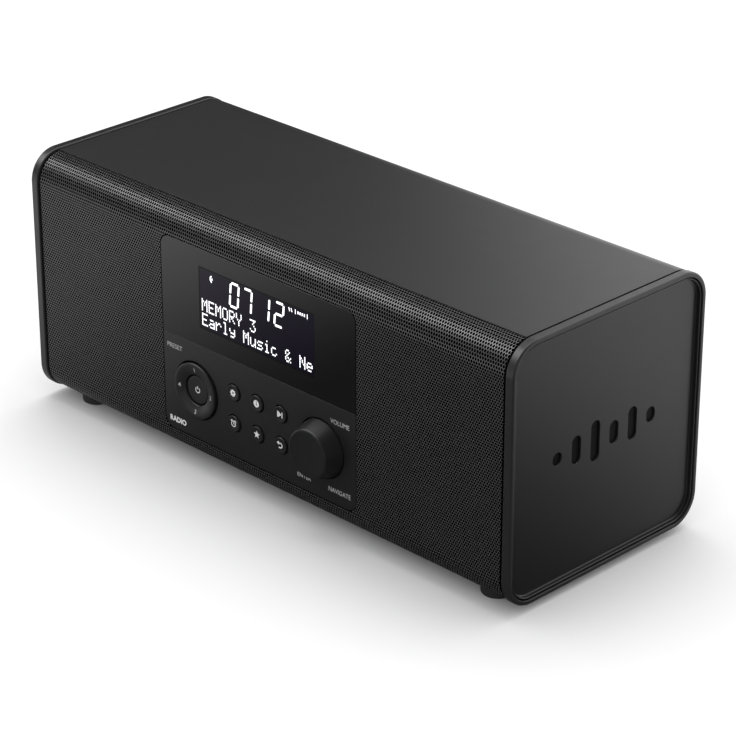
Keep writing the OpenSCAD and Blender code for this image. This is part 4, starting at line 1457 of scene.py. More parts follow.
@dataclass
class Display:
    """The liquid crystal panel: a seven-segment clock, two rows of dot-matrix text and small signs."""

    clock: str = "0712"
    clock_centres: tuple[float, ...] = (-11.45, -4.4, 5.0, 12.55)
    clock_height: float = 10.4
    clock_width: float = 5.3
    clock_up: float = 6.45
    stroke: float = 0.95
    slant: float = 0.09
    rows: tuple[tuple[str, float], ...] = (("MEMORY 3", -2.6), ("Early Music & Ne", -8.5))
    row_start: float = -29.6
    letter_pitch: float = 3.76
    dot_pitch: tuple[float, float] = (0.635, 0.73)
    dot: tuple[float, float] = (0.53, 0.6)
    ink: float = 0.015
    area: tuple[float, float] = (61.96, 25.36)

    def __post_init__(self) -> None:
        """Reads the display's place from the frame."""
        self.box = NodeBox.of("lcd_glass")
        self.origin = Vector((self.box.centre.x, NodeBox.of("display_window").low.y, self.box.centre.z))

    def build(self) -> None:
        """Builds the glass, the lens bonded to it and everything that they show."""
        self.glass()
        self.lens()
        self.show("lcd_clock", self.clock_digits())
        for k, (text, up) in enumerate(self.rows):
            self.show(f"lcd_row_{k + 1}", self.dot_row(text, up))
        self.show("lcd_signs", self.signs())

    def glass(self) -> None:
        """Builds the glass slab behind the window."""
        mesh = bmesh.new()
        size = (self.box.size.x, self.box.size.z)
        bevel = 0.2
        guide = Loop.rounded(mesh, size, 0.5, steps=3)
        face = guide.step(bevel, 0.0)
        bmesh.ops.delete(mesh, geom=list({v for e in guide.edges for v in e.verts}), context="VERTS")
        face.cap()
        face.step(0.0, -bevel).step(0.0, -self.box.size.y).cap()
        piece = Piece("lcd_slab", LCD_VIOLET, nodes=("lcd_glass",), slot="lcd_glass")
        place = Vector((self.origin.x, self.box.low.y, self.origin.z))
        piece.finish_off(mesh, Face.FRONT.place(place))

    def lens(self) -> None:
        """Builds the lens that fills the window's opening, with a dark frame round its lit area."""
        wide, tall = self.area
        for name, finish, size, right, lift in (
            ("lcd_frame", LCD_FRAME, (wide, tall), 0.0, -0.03),
            ("lcd_lens", LCD_VIOLET, (wide - 0.9, tall - 1.2), 0.4, -0.015),
        ):
            mesh = bmesh.new()
            outer = Loop.rounded(mesh, size, 0.4, centre=(right, 0.0), lift=lift, steps=3)
            outer.cap()
            outer.step(0.0, -1.2).cap()
            Piece(name, finish, slot="lcd_glass").finish_off(mesh, Face.FRONT.place(self.origin))

    def show(self, name: str, mesh: bmesh.types.BMesh) -> None:
        """Turns flat signs into lit ones on the glass.

        Args:
            name: The piece's name.
            mesh: The flat signs.
        """
        raised(mesh, self.ink)
        piece = Piece(name, LCD_WHITE, slot="lcd_glass", even_normals=False)
        piece.finish_off(mesh, Face.FRONT.place(self.origin) @ shifted(0, 0, -0.02))

    def clock_digits(self) -> bmesh.types.BMesh:
        """Draws the clock's digits.

        Returns:
            The flat mesh.
        """
        mesh = bmesh.new()
        tall = (self.clock_height - self.stroke) / 2
        wide = self.clock_width - self.stroke
        gap = 1.15
        places = {
            "a": (wide, 0, tall, True), "g": (wide, 0, 0, True), "d": (wide, 0, -tall, True),
            "f": (tall, -wide / 2, tall / 2, False), "b": (tall, wide / 2, tall / 2, False),
            "e": (tall, -wide / 2, -tall / 2, False), "c": (tall, wide / 2, -tall / 2, False),
        }
        lean = Matrix.Identity(4)
        lean[0][1] = self.slant
        for digit, centre in zip(self.clock, self.clock_centres):
            for name in SEGMENTS_OF[digit]:
                length, x, y, level = places[name]
                length += self.stroke * 0.5 - gap
                size = (length, self.stroke) if level else (self.stroke, length)
                segment = bar(*size, (x, y), tip=self.stroke * 0.32)
                absorb(mesh, segment, shifted(centre, self.clock_up) @ lean)
        return mesh

    def dot_row(self, text: str, up: float) -> bmesh.types.BMesh:
        """Draws one row of dot-matrix text.

        Args:
            text: The text, from the known glyphs.
            up: The row's middle above the display's middle.

        Returns:
            The flat mesh.
        """
        mesh = bmesh.new()
        for place, letter in enumerate(text):
            left = self.row_start + place * self.letter_pitch + self.dot_pitch[0] / 2
            for j, line in enumerate(GLYPHS[letter].split()):
                for i, mark in enumerate(line):
                    if mark == "#":
                        centre = (left + i * self.dot_pitch[0], up + (3 - j) * self.dot_pitch[1])
                        absorb(mesh, bar(*self.dot, centre), Matrix.Identity(4))
        return mesh

    def signs(self) -> bmesh.types.BMesh:
        """Draws the loudspeaker sign and the small state signs.

        Returns:
            The flat mesh.
        """
        mesh = bmesh.new()
        left, up, state_up = -23.8, 9.2, 10.5
        absorb(mesh, sector(0.75, 1.3, 80, 280), shifted(left, up) @ Matrix.Diagonal((0.75, 1.05, 1, 1)))
        absorb(mesh, bar(0.5, 0.9, (left + 0.25, up)), Matrix.Identity(4))
        for x in (18.0, 19.2):
            absorb(mesh, bar(0.45, 1.5, (x, state_up), turn=20), Matrix.Identity(4))
        absorb(mesh, bar(0.35, 1.9, (21.2, state_up)), Matrix.Identity(4))
        for x in (22.6, 23.7, 24.8, 25.9):
            absorb(mesh, bar(0.6, 1.1, (x, state_up)), Matrix.Identity(4))
        absorb(mesh, bar(0.35, 1.9, (27.4, state_up)), Matrix.Identity(4))
        return mesh


# ---- Controls ----


@dataclass
class Controls:
    """The preset ring, the power key, the six small keys and the volume knob."""

    dish_radius: float = 18.0
    key_sink: float = 0.25
    ink: float = 0.04
    ring_radius: float = 11.4
    ring_inner: float = 6.25
    ring_proud: float = 1.1

    def build(self) -> None:
        """Builds every control with its signs."""
        for name in ("settings", "info", "next", "alarm", "favourite", "back"):
            self.key(name)
        self.ring()
        self.power()
        self.knob()

    def key(self, name: str) -> None:
        """Builds one small key with a dished cap, and its sign.

        Args:
            name: What the key does.
        """
        node = f"{name}_button"
        box = NodeBox.of(node)
        radius = box.size.x / 2 - 1.0
        origin = Vector((box.centre.x, box.low.y, box.centre.z))
        soft = 0.3
        sag = self.key_sink
        dish = [(r, self.dish(r) - sag) for r in (radius - soft) * np.linspace(0, 1, 9)]
        edge = dish[-1][1]
        depth = box.size.y
        profile = [
            *dish,
            *shoulder(radius, edge, soft, KEY_EDGE),
            (radius, -3.6), (radius + 0.9, -3.6), (radius + 0.9, -4.3),
            (1.5, -4.3), (1.5, -depth), (0, -depth),
        ]
        piece = Piece(f"{name}_key", KEY_MATT, body=node, nodes=(node,), slot="key_plastic")
        piece.finish_off(turned(profile, steps=48), Face.FRONT.place(origin))
        sign = raised(KEY_SIGNS[name](), self.ink)
        for v in sign.verts:
            v.co.z += self.dish(v.co.xy.length) - sag + 0.01
        signed = Piece(f"{name}_sign", INK_WHITE, body=node, slot="key_plastic", even_normals=False)
        signed.finish_off(sign, Face.FRONT.place(origin))

    def dish(self, radius: float) -> float:
        """Height of a key's dished face at a radius, above its middle."""
        return self.dish_radius - math.sqrt(self.dish_radius**2 - radius**2)

    def ring_height(self, radius: float) -> float:
        """Height of the ring's dished face at a radius, above the panel."""
        wide = self.ring_radius - 0.5 - self.ring_inner
        t = min(max((radius - self.ring_inner) / wide, 0.0), 1.0)
        return -0.1 + (self.ring_proud + 0.1) * math.sin(math.pi / 2 * t)

    def ring(self) -> None:
        """Builds the preset ring with its hollow back and its four digits."""
        box = NodeBox.of("preset_ring")
        panel = NodeBox.of("display_window").low.y
        origin = Vector((box.centre.x, panel, box.centre.z))
        inner, outer, soft = self.ring_inner, self.ring_radius, 0.45
        face = [(r, self.ring_height(r)) for r in np.linspace(inner + 0.15, outer - soft, 14)]
        profile = [
            (inner, -2.0), (inner, self.ring_height(inner) - 0.15), *face,
            *shoulder(outer, self.ring_proud, soft, KEY_EDGE),
            (outer, -3.2), (outer + 1.2, -3.2), (outer + 1.2, -4.0), (8.2, -4.0), (8.2, -6.8), (7.0, -6.8),
            (7.0, -2.0), (inner, -2.0),
        ]
        mesh = turned(profile, steps=96)
        node = "preset_ring"
        piece = Piece("preset_rocker", KEY_MATT, body=node, nodes=(node,), slot="key_plastic")
        piece.finish_off(mesh, Face.FRONT.place(origin))
        digits = bmesh.new()
        middle = 8.75
        for text, x, y in (("1", 0, 1), ("2", 1, 0), ("3", 0, -1), ("4", -1, 0)):
            digit = lettering(text, (0.0, 1.75), self.ink, bold=0.02)
            absorb(digits, digit, shifted(x * middle, y * middle))
        for v in digits.verts:
            v.co.z += self.ring_height(v.co.xy.length) + 0.015
        signed = Piece("preset_digits", INK_GREY, body="preset_ring", slot="key_plastic", even_normals=False)
        signed.finish_off(digits, Face.FRONT.place(origin))

    def power(self) -> None:
        """Builds the power key and its sign."""
        box = NodeBox.of("power_button")
        origin = Vector((box.centre.x, box.low.y, box.centre.z))
        radius, soft, depth = box.size.x / 2, 0.25, box.size.y
        profile = [
            (0, -0.12), (radius * 0.4, -0.09), (radius * 0.8, -0.02), (radius - soft, 0.0),
            *shoulder(radius, 0.0, soft, KEY_EDGE),
            (radius, -2.0), (1.7, -2.0), (1.7, -depth), (0, -depth),
        ]
        node = "power_button"
        piece = Piece("power_key", KEY_MATT, body=node, nodes=(node,), slot="key_plastic")
        piece.finish_off(turned(profile, steps=72), Face.FRONT.place(origin))
        sign = sector(0.95, 1.3, 125, 415, steps=28)
        absorb(sign, bar(0.35, 1.25, (0, 0.95)), Matrix.Identity(4))
        raised(sign, self.ink)
        signed = Piece("power_sign", INK_WHITE, body="power_button", slot="key_plastic", even_normals=False)
        signed.finish_off(sign, Face.FRONT.place(origin) @ shifted(0, 0, -0.085))

    def knob(self) -> None:
        """Builds the volume knob, hollow behind, with a shallow dish in its face."""
        box = NodeBox.of("volume_knob")
        panel = NodeBox.of("display_window").low.y
        origin = Vector((box.centre.x, panel, box.centre.z))
        proud = (panel - box.low.y) / MM
        base = box.size.x / 2
        front, soft, skirt = 9.8, 0.9, -1.2
        flat = front - soft
        dished = [(r, proud - 0.35 + 0.35 * (r / flat) ** 3) for r in np.linspace(0, flat, 12)]
        profile = [
            *dished,
            *shoulder(front, proud, soft, KNOB_EDGE),
            (base - 0.02, 0.3), (base, 0.0), (base, skirt), (base - 1.6, skirt),
            (front - 2.0, proud - 2.6), (5.2, proud - 2.6), (5.2, 0.0), (3.02, 0.0),
            (3.02, proud - 2.7), (0, proud - 2.7),
        ]
        node = "volume_knob"
        piece = Piece("volume_dial", KNOB_SATIN, body=node, nodes=(node,), slot="knob_plastic")
        piece.finish_off(turned(profile, steps=112), Face.FRONT.place(origin))


def gear_sign() -> bmesh.types.BMesh:
    """The settings sign: a small toothed wheel."""
    return disc(lambda a: 1.5 if math.cos(8 * a) > 0 else 1.18, steps=48, hole=0.42)


def info_sign() -> bmesh.types.BMesh:
    """The info sign: a disc with an i left open in it."""
    mesh = bmesh.new()
    loops = [Loop.circle(mesh, 1.45, steps=40)]
    loops.append(Loop.rounded(mesh, (0.42, 1.2), 0.05, centre=(0.0, -0.25), steps=1))
    loops.append(Loop.circle(mesh, 0.27, centre=(0.0, 0.78), steps=10))
    fill_between(mesh, loops)
    return mesh


def next_sign() -> bmesh.types.BMesh:
    """The next sign: an arrow head between two upright bars."""
    mesh = bmesh.new()
    absorb(mesh, bar(0.5, 2.4, (-1.15, 0)), Matrix.Identity(4))
    absorb(mesh, bar(0.5, 2.4, (1.15, 0)), Matrix.Identity(4))
    absorb(mesh, arrow(1.5, 1.15, 0), shifted(-0.05, 0))
    return mesh


def alarm_sign() -> bmesh.types.BMesh:
    """The alarm sign: a clock face with two hands and two bells."""
    mesh = bmesh.new()
    absorb(mesh, disc(lambda a: 1.3, steps=32, hole=0.95), Matrix.Identity(4))
    absorb(mesh, bar(0.26, 0.95, (0, 0.38)), Matrix.Identity(4))
    absorb(mesh, bar(0.7, 0.26, (0.3, 0.0)), Matrix.Identity(4))
    for side in (-1, 1):
        absorb(mesh, bar(0.95, 0.4, (side * 1.05, 1.25), turn=-side * 42), Matrix.Identity(4))
    return mesh


def star_sign() -> bmesh.types.BMesh:
    """The favourite sign: a five-pointed star."""
    def radius(angle: float) -> float:
        """Long at the five points and short between them."""
        return 1.65 if math.cos(5 * (angle - math.pi / 2)) > 0 else 0.72
    return disc(radius, steps=10)


def back_sign() -> bmesh.types.BMesh:
    """The back sign: a bent arrow."""
    mesh = sector(0.7, 1.15, -100, 90, steps=18)
    absorb(mesh, bar(1.2, 0.45, (-0.5, 0.92)), Matrix.Identity(4))
    absorb(mesh, bar(0.9, 0.45, (-0.4, -0.92)), Matrix.Identity(4))
    absorb(mesh, arrow(1.1, 0.85, 180), shifted(-1.3, 0.92))
    return mesh


KEY_SIGNS: dict[str, Callable[[], bmesh.types.BMesh]] = {
    "settings": gear_sign,
    "info": info_sign,
    "next": next_sign,
    "alarm": alarm_sign,
    "favourite": star_sign,
    "back": back_sign,
}


@dataclass(frozen=True)
class Label:
    """A printed word: its name, the text, its left end, foot, width and height on the panel."""

    name: str
    text: str
    left: float
    foot: float
    width: float
    height: float
    bold: float = 0.0


@dataclass
class Labels:
    """The words printed on the panel, measured from the panel's middle."""

    words: tuple[Label, ...] = (
        Label("preset", "PRESET", -49.9, -5.9, 8.4, 1.9),
        Label("volume", "VOLUME", 39.0, -7.4, 9.8, 1.9),
        Label("navigate", "NAVIGATE", 37.9, -35.5, 11.4, 1.9),
        Label("enter", "ENTER", 21.4, -35.4, 7.2, 1.5),
        Label("radio", "RADIO", -49.5, -37.2, 9.2, 2.4, bold=0.04),
    )
    ink: float = 0.03

    def build(self) -> None:
        """Prints every word."""
        glass = NodeBox.of("display_window")
        origin = Vector((0.0, glass.low.y, glass.low.z))
        for word in self.words:
            mesh = lettering(word.text, (word.width, word.height), self.ink, bold=word.bold)
            place = shifted(word.left + word.width / 2, word.foot + word.height / 2, 0.004)
            finish = INK_WHITE if word.bold else INK_GREY
            piece = Piece(f"label_{word.name}", finish, slot="panel_plastic", even_normals=False)
            piece.finish_off(mesh, Face.FRONT.place(origin) @ place)


# ---- Back ----


@dataclass
class RearCover:
    """The rear cover with its vents and holes, the sockets in it and the screws that hold it."""

    wall: float = 3.0
    vent: tuple[float, float] = (32.0, 1.8)
    vent_count: int = 7
    vent_pitch: float = 5.0
    vent_middle: float = 78.0
    vent_foot: float = -24.0
    screw_head: float = 2.2
    recess: float = 1.5
    turret_cup: float = 8.4
    jack_bore: float = 1.8
    dc_bore: float = 3.0

    def __post_init__(self) -> None:
        """Reads the cover's place from the frame."""
        shell = NodeBox.of("cabinet_shell")
        self.origin = Vector((0.0, shell.high.y, shell.centre.z))
        self.turret = NodeBox.of("aerial_turret").centre
        screws = NodeBox.of("rear_screws")
        self.screw_reach = (screws.size.x / 2 - self.screw_head, screws.size.z / 2 - self.screw_head)
        self.screw_inner = 40.0

    def local(self, point: Vector) -> tuple[float, float]:
        """A point on the cover, in its own right and up."""
        return -(point.x - self.origin.x) / MM, (point.z - self.origin.z) / MM

    def screw_places(self) -> list[tuple[float, float]]:
        """Where the eight cover screws are."""
        wide, tall = self.screw_reach
        return [(sx * x, sz * tall) for x in (wide, self.screw_inner) for sx in (-1, 1) for sz in (-1, 1)]

    def build(self) -> None:
        """Builds the cover, the shelf under the aerial, the sockets and the screws."""
        self.cover()
        self.shelf()
        for node in ("line_in_socket", "headphone_socket"):
            self.jack(node, 3.5, self.jack_bore, 12.0)
        self.jack("dc_socket", 5.0, self.dc_bore, 10.0, pin=1.0)
        self.screws()

    def lip(self, loop: Loop, soft: float = 0.25) -> Loop:
        """Rounds the lip of a hole."""
        turns = [math.radians(30 * k) for k in (1, 2, 3)]
        return loop.follow([(soft * math.sin(t), -soft * (1 - math.cos(t))) for t in turns])

    def cover(self) -> None:
        """Builds the cover plate."""
        mesh = bmesh.new()
        soft = 0.4
        size = (223.4, 75.4)
        guide = Loop.rounded(mesh, size, 0.6, steps=3)
        face = guide.step(soft, 0.0)
        bmesh.ops.delete(mesh, geom=list({v for e in guide.edges for v in e.verts}), context="VERTS")
        fronts = [face]
        edge = face.follow([
            (soft - soft * math.sin(math.radians(30 * k)), -soft * (1 - math.cos(math.radians(30 * k))))
            for k in (1, 2, 3)
        ])
        backs = [edge.step(0.0, -self.wall)]
        for side in (-1, 1):
            for k in range(self.vent_count):
                up = self.vent_foot + self.vent[1] / 2 + self.vent_pitch * k
                size = (self.vent[0] + 0.5, self.vent[1] + 0.5)
                middle = (side * self.vent_middle, up)
                loop = Loop.rounded(mesh, size, size[1] / 2 - 0.05, centre=middle, steps=5)
                fronts.append(loop)
                backs.append(self.lip(loop).step(0.25, -self.wall))
        for node, radius in (("line_in_socket", 3.7), ("headphone_socket", 3.7), ("dc_socket", 5.2)):
            loop = Loop.circle(mesh, radius + 0.25, self.local(NodeBox.of(node).centre), steps=40)
            fronts.append(loop)
            backs.append(self.lip(loop).step(0.25, -self.wall))
        for place in self.screw_places():
            loop = Loop.circle(mesh, self.screw_head + 0.45, place, steps=28)
            fronts.append(loop)
            inset = self.screw_head + 0.2 - 1.2
            deep = self.lip(loop).step(0.25, -self.recess).step(0.25 + inset, -self.recess)
            backs.append(deep.step(0.25 + inset, -self.wall))
        cup = Loop.circle(mesh, self.turret_cup + 0.25, self.local(self.turret), steps=56)
        fronts.append(cup)
        inset = self.turret_cup - 2.55
        deep = self.lip(cup).step(0.25, -self.wall + 0.05).step(0.25 + inset, -self.wall + 0.05)
        backs.append(deep.step(0.25 + inset, -self.wall))
        fill_between(mesh, fronts)
        fill_between(mesh, backs)
        piece = Piece("rear_plate", REAR_MATT, nodes=("rear_cover",), slot="rear_plastic")
        piece.finish_off(mesh, Face.REAR.place(self.origin))

    def shelf(self) -> None:
        """Builds the ledge under the stowed aerial."""
        tube = NodeBox.of("aerial_tube_1")
        top = tube.low.z - 0.2 * MM
        reach = (tube.centre.y - self.origin.y) / MM + 1.5
        mesh = bmesh.new()
        bmesh.ops.create_cube(mesh, size=1.0)
        bmesh.ops.scale(mesh, vec=(8.0, 2.4, reach + 0.6), verts=mesh.verts)
        bmesh.ops.translate(mesh, vec=(0, 0, reach / 2 - 0.3), verts=mesh.verts)
        front = [
            e for e in mesh.edges
            if all(v.co.z > 0 for v in e.verts) or abs(e.verts[0].co.z - e.verts[1].co.z) > 1
        ]
        bmesh.ops.bevel(mesh, geom=front, offset=0.5, segments=3, profile=0.5, affect="EDGES", material=-1)
        centre = Vector((-34 * MM, self.origin.y, top - 1.2 * MM))
        Piece("aerial_shelf", REAR_MATT, slot="rear_plastic").finish_off(mesh, Face.REAR.place(centre))

    def jack(self, node: str, radius: float, bore: float, depth: float, pin: float = 0.0) -> None:
        """Builds a round socket.

        Args:
            node: Its CAD node.
            radius: Radius of its nose.
            bore: Radius of its bore.
            depth: Depth of its bore.
            pin: Radius of its centre pin, 0 for none.
        """
        box = NodeBox.of(node)
        origin = Vector((box.centre.x, box.high.y, box.centre.z))
        soft = 0.3
        tail = box.size.y
        profile = [
            (0, -depth), (bore, -depth), (bore, -soft),
            *[(bore + soft - soft * math.cos(t), -soft + soft * math.sin(t)) for t in SOCKET_EDGE],
            (radius - soft, 0.0),
            *shoulder(radius, 0.0, soft, SOCKET_EDGE),
            (radius, -tail), (0, -tail),
        ]
        mesh = turned(profile, steps=40)
        if pin > 0:
            pin_profile = [(0, -1.0), (pin - 0.3, -1.0), (pin, -1.3), (pin, -depth - 0.2), (0, -depth - 0.2)]
            absorb(mesh, turned(pin_profile, steps=20), Matrix.Identity(4))
        piece = Piece(f"{node}_nose", SOCKET_BLACK, nodes=(node,), slot="socket_plastic")
        piece.finish_off(mesh, Face.REAR.place(origin))

    def screws(self) -> None:
        """Builds the eight screws, each with a six-lobed drive in its head."""
        mesh = bmesh.new()
        head, thick, shank = self.screw_head, 1.3, 1.1
        profile = [(0.95, 0.0), (head - 0.5, -0.02), (head - 0.1, -0.3), (head, -0.6), (head, -thick),
                   (shank, -thick), (shank, -thick - 3.4), (0.4, -thick - 3.9), (0, -thick - 3.9)]
        for place in self.screw_places():
            one = turned(profile, steps=24)
            rim = Loop(one, [e for e in one.edges if e.is_boundary], 0.0, 0.0)
            away = Loop.away_layer(one)
            for v in {v for e in rim.edges for v in e.verts}:
                lobe = 0.86 + 0.14 * math.cos(6 * math.atan2(v.co.y, v.co.x))
                v.co = Vector((v.co.x * lobe, v.co.y * lobe, v.co.z))
                v[away] = v.co.normalized()
            rim.step(0.05, -0.85).cap()
            absorb(mesh, one, shifted(*place, -0.2))
        piece = Piece("cover_screws", SCREW_BLACK, nodes=("rear_screws",), slot="screw_black")
        piece.finish_off(mesh, Face.REAR.place(self.origin))


@dataclass
class Aerial:
    """The turret, the four drawn tubes and the tipped rod, stowed along the back."""

    radii: tuple[float, ...] = (2.7, 2.3, 1.9, 1.5)
    wall: float = 0.35
    rod: float = 1.1
    cheek: float = 3.6

    def __post_init__(self) -> None:
        """Reads the aerial's axis from the frame."""
        tube = NodeBox.of("aerial_tube_2")
        self.axis_y = tube.centre.y
        self.axis_z = tube.centre.z
        pin = NodeBox.of("aerial_hinge_pin")
        self.pivot = pin.centre

    def build(self) -> None:
        """Builds the turret, the tubes and the rod."""
        self.turret()
        self.knuckle_tube()
        for number in (2, 3, 4):
            self.tube(number)
        self.tip_rod()

    def along(self, x: float) -> Matrix:
        """Places a turned piece whose heights run towards the tip."""
        return Face.LEFT.place(Vector((x, self.axis_y, self.axis_z)))

    def hollow(self, length: float, radius: float, floor: float) -> Profile:
        """A tube's profile, closed at its foot, with a rolled lip at its mouth.

        Args:
            length: Its length.
            radius: Its radius.
            floor: Thickness of its foot.

        Returns:
            The profile.
        """
        lip = 0.12
        inner = radius - self.wall
        return [
            (0, 0), (radius, 0), (radius, length - 1.2),
            (radius - 0.1, length - 0.9), (radius - 0.1, length - 0.5),
            (radius, length - lip), (radius - lip, length), (inner + 0.05, length), (inner, length - lip),
            (inner, floor), (0, floor),
        ]

    def tube(self, number: int) -> None:
        """Builds one of the inner tubes.

        Args:
            number: 2, 3 or 4, counted from the outermost.
        """
        node = f"aerial_tube_{number}"
        box = NodeBox.of(node)
        profile = self.hollow(box.size.x, self.radii[number - 1], 1.0)
        piece = Piece(f"{node}_drawn", AERIAL_CHROME, body=node, nodes=(node,), slot="aerial_chrome")
        piece.finish_off(turned(profile, steps=32), self.along(box.high.x))

    def knuckle_tube(self) -> None:
        """Builds the outermost tube with the knuckle that turns on the hinge pin."""
        box = NodeBox.of("aerial_tube_1")
        length = (self.pivot.x - box.low.x) / MM
        profile = self.hollow(length - 2.0, self.radii[0], 4.0)
        mesh = turned(profile, steps=36)
        bmesh.ops.translate(mesh, vec=(0, 0, 2.0), verts=mesh.verts)
        eye = [(1.25, -3.1), (3.2, -3.1), (3.5, -2.8), (3.5, 2.8), (3.2, 3.1), (1.25, 3.1), (1.25, -3.1)]
        absorb(mesh, turned(eye, steps=36), Matrix.Rotation(math.pi / 2, 4, "X"))
        piece = Piece("aerial_tube_1_drawn", AERIAL_CHROME, body="aerial_tube_1", nodes=("aerial_tube_1",),
                      slot="aerial_chrome")
        piece.finish_off(mesh, self.along(self.pivot.x))

    def tip_rod(self) -> None:
        """Builds the innermost rod with its turned tip."""
        box = NodeBox.of("aerial_rod")
        length = box.size.x
        tip, neck = 2.5, length - 6.5
        turns = [math.radians(15 * k) for k in range(1, 6)]
        profile = [
            (0, 0), (self.rod, 0), (self.rod, neck), (tip - 0.3, neck), (tip, neck + 0.3), (tip, neck + 4.0),
            *[(tip * math.cos(t), neck + 4.0 + 2.5 * math.sin(t)) for t in turns],
            (0, length),
        ]
        piece = Piece("aerial_rod_drawn", AERIAL_CHROME, body="aerial_rod", nodes=("aerial_rod",),
                      slot="aerial_chrome")
        piece.finish_off(turned(profile, steps=32), self.along(box.high.x))

    def turret(self) -> None:
        """Builds the swivelling turret with its two cheeks."""
        box = NodeBox.of("aerial_turret")
        shell = NodeBox.of("cabinet_shell").high.y
        origin = Vector((self.pivot.x, shell, self.pivot.z))
        face, back = -0.2, (box.low.y - shell) / MM
        soft, radius = 0.5, 8.0
        profile = [
            (0, face), (radius - soft, face),
            *shoulder(radius, face, soft, SOCKET_EDGE),
            (radius, -2.7), (2.5, -2.7), (2.5, -5.3), (4.2, -5.3), (4.2, back), (0, back),
        ]
        mesh = turned(profile, steps=56)
        reach = (self.pivot.y - shell) / MM
        for side in (-1, 1):
            absorb(mesh, self.cheek_plate(reach), shifted(0, side * 4.15))
        piece = Piece("aerial_turret_moulding", SOCKET_BLACK, body="aerial_turret", nodes=("aerial_turret",),
                      slot="turret_plastic")
        piece.finish_off(mesh, Face.REAR.place(origin))

    def cheek_plate(self, reach: float) -> bmesh.types.BMesh:
        """One cheek: a plate with a round end and the pin's hole.

        Args:
            reach: How far out the pin lies.

        Returns:
            The mesh, standing on the turret's face.
        """
        mesh = bmesh.new()
        thick, foot = 1.7, -0.6
        height = reach - foot + self.cheek
        half = thick / 2
        soft = 0.25
        outline = (2 * self.cheek, height)
        centre = (0.0, foot + height / 2)
        outer = Loop.rounded(
            mesh, outline, self.cheek - 0.01, 0.3, centre=centre, lift=half, steps=14
        )
        hole = Loop.circle(mesh, 1.25, centre=(0.0, reach), lift=half, steps=24)
        fronts = [outer, hole]
        backs = [outer.step(0.0, -half), hole.step(0.0, -half)]
        fill_between(mesh, fronts)
        fill_between(mesh, backs)
        pin = Vector((0, reach))
        rim = [
            e for e in mesh.edges
            if e.calc_face_angle(0.0) > 1.2
            and abs(e.verts[0].co.z - e.verts[1].co.z) < 0.1
            and e.verts[0].co.xy.length > 0
            and min((v.co.xy - pin).length for v in e.verts) > 2
        ]
        bmesh.ops.bevel(mesh, geom=rim, offset=soft, segments=2, profile=0.5, affect="EDGES", material=-1)
        bmesh.ops.rotate(mesh, verts=mesh.verts, cent=(0, 0, 0), matrix=Matrix.Rotation(math.pi / 2, 3, "X"))
        return mesh


class Insides:
    """The CAD nodes that show as they are: each gets its own finish."""

    def build(self) -> None:
        """Assigns the finishes."""
        for name, finish in INNER_FINISHES.items():
            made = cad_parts[name]
            made.data.materials.clear()
            made.data.materials.append(finish.material())
        LOG.info("%d inner nodes dressed", len(INNER_FINISHES))


# ---- Studio ----


@dataclass(frozen=True)
class Card:
    """A studio card that only reflections meet: dark near a centre and light further away.

    Lengths are metres.
    """

    name: str
    low: tuple[float, float, float]
    high: tuple[float, float, float]
    centre: tuple[float, float, float]
    near: float
    far: float
    dark: float
    light: float

    def build(self) -> None:
        """Hangs the card and hides it from all but reflections."""
        mesh = bmesh.new()
        bmesh.ops.create_cube(mesh, size=1.0)
        middle = (Vector(self.low) + Vector(self.high)) / 2
        reach = Vector(self.high) - Vector(self.low)
        bmesh.ops.scale(mesh, vec=reach, verts=mesh.verts)
        bmesh.ops.translate(mesh, vec=middle, verts=mesh.verts)
        data = bpy.data.meshes.new(self.name)
        mesh.to_mesh(data)
        mesh.free()
        made = bpy.data.objects.new(self.name, data)
        bpy.context.scene.collection.objects.link(made)
        data.materials.append(self.glow())
        made.visible_camera = False
        made.visible_diffuse = False
        made.visible_transmission = False
        made.visible_shadow = False

    def glow(self) -> bpy.types.Material:
        """Makes the card's light, which fades with the distance from its centre.

        Returns:
            The material.
        """
        made = bpy.data.materials.new(self.name)
        made.use_nodes = True
        made.cycles.emission_sampling = "NONE"
        tree = made.node_tree
        tree.nodes.clear()
        place = tree.nodes.new("ShaderNodeTexCoord")
        away = tree.nodes.new("ShaderNodeVectorMath")
        away.operation = "DISTANCE"
        away.inputs[1].default_value = self.centre
        fade = tree.nodes.new("ShaderNodeMapRange")
        fade.interpolation_type = "SMOOTHSTEP"
        fade.inputs["From Min"].default_value = self.near
        fade.inputs["From Max"].default_value = self.far
        fade.inputs["To Min"].default_value = self.dark
        fade.inputs["To Max"].default_value = self.light
        shine = tree.nodes.new("ShaderNodeEmission")
        out = tree.nodes.new("ShaderNodeOutputMaterial")
        tree.links.new(place.outputs["Object"], away.inputs[0])
        tree.links.new(away.outputs["Value"], fade.inputs["Value"])
        tree.links.new(fade.outputs["Result"], shine.inputs["Strength"])
        tree.links.new(shine.outputs["Emission"], out.inputs["Surface"])
        return made


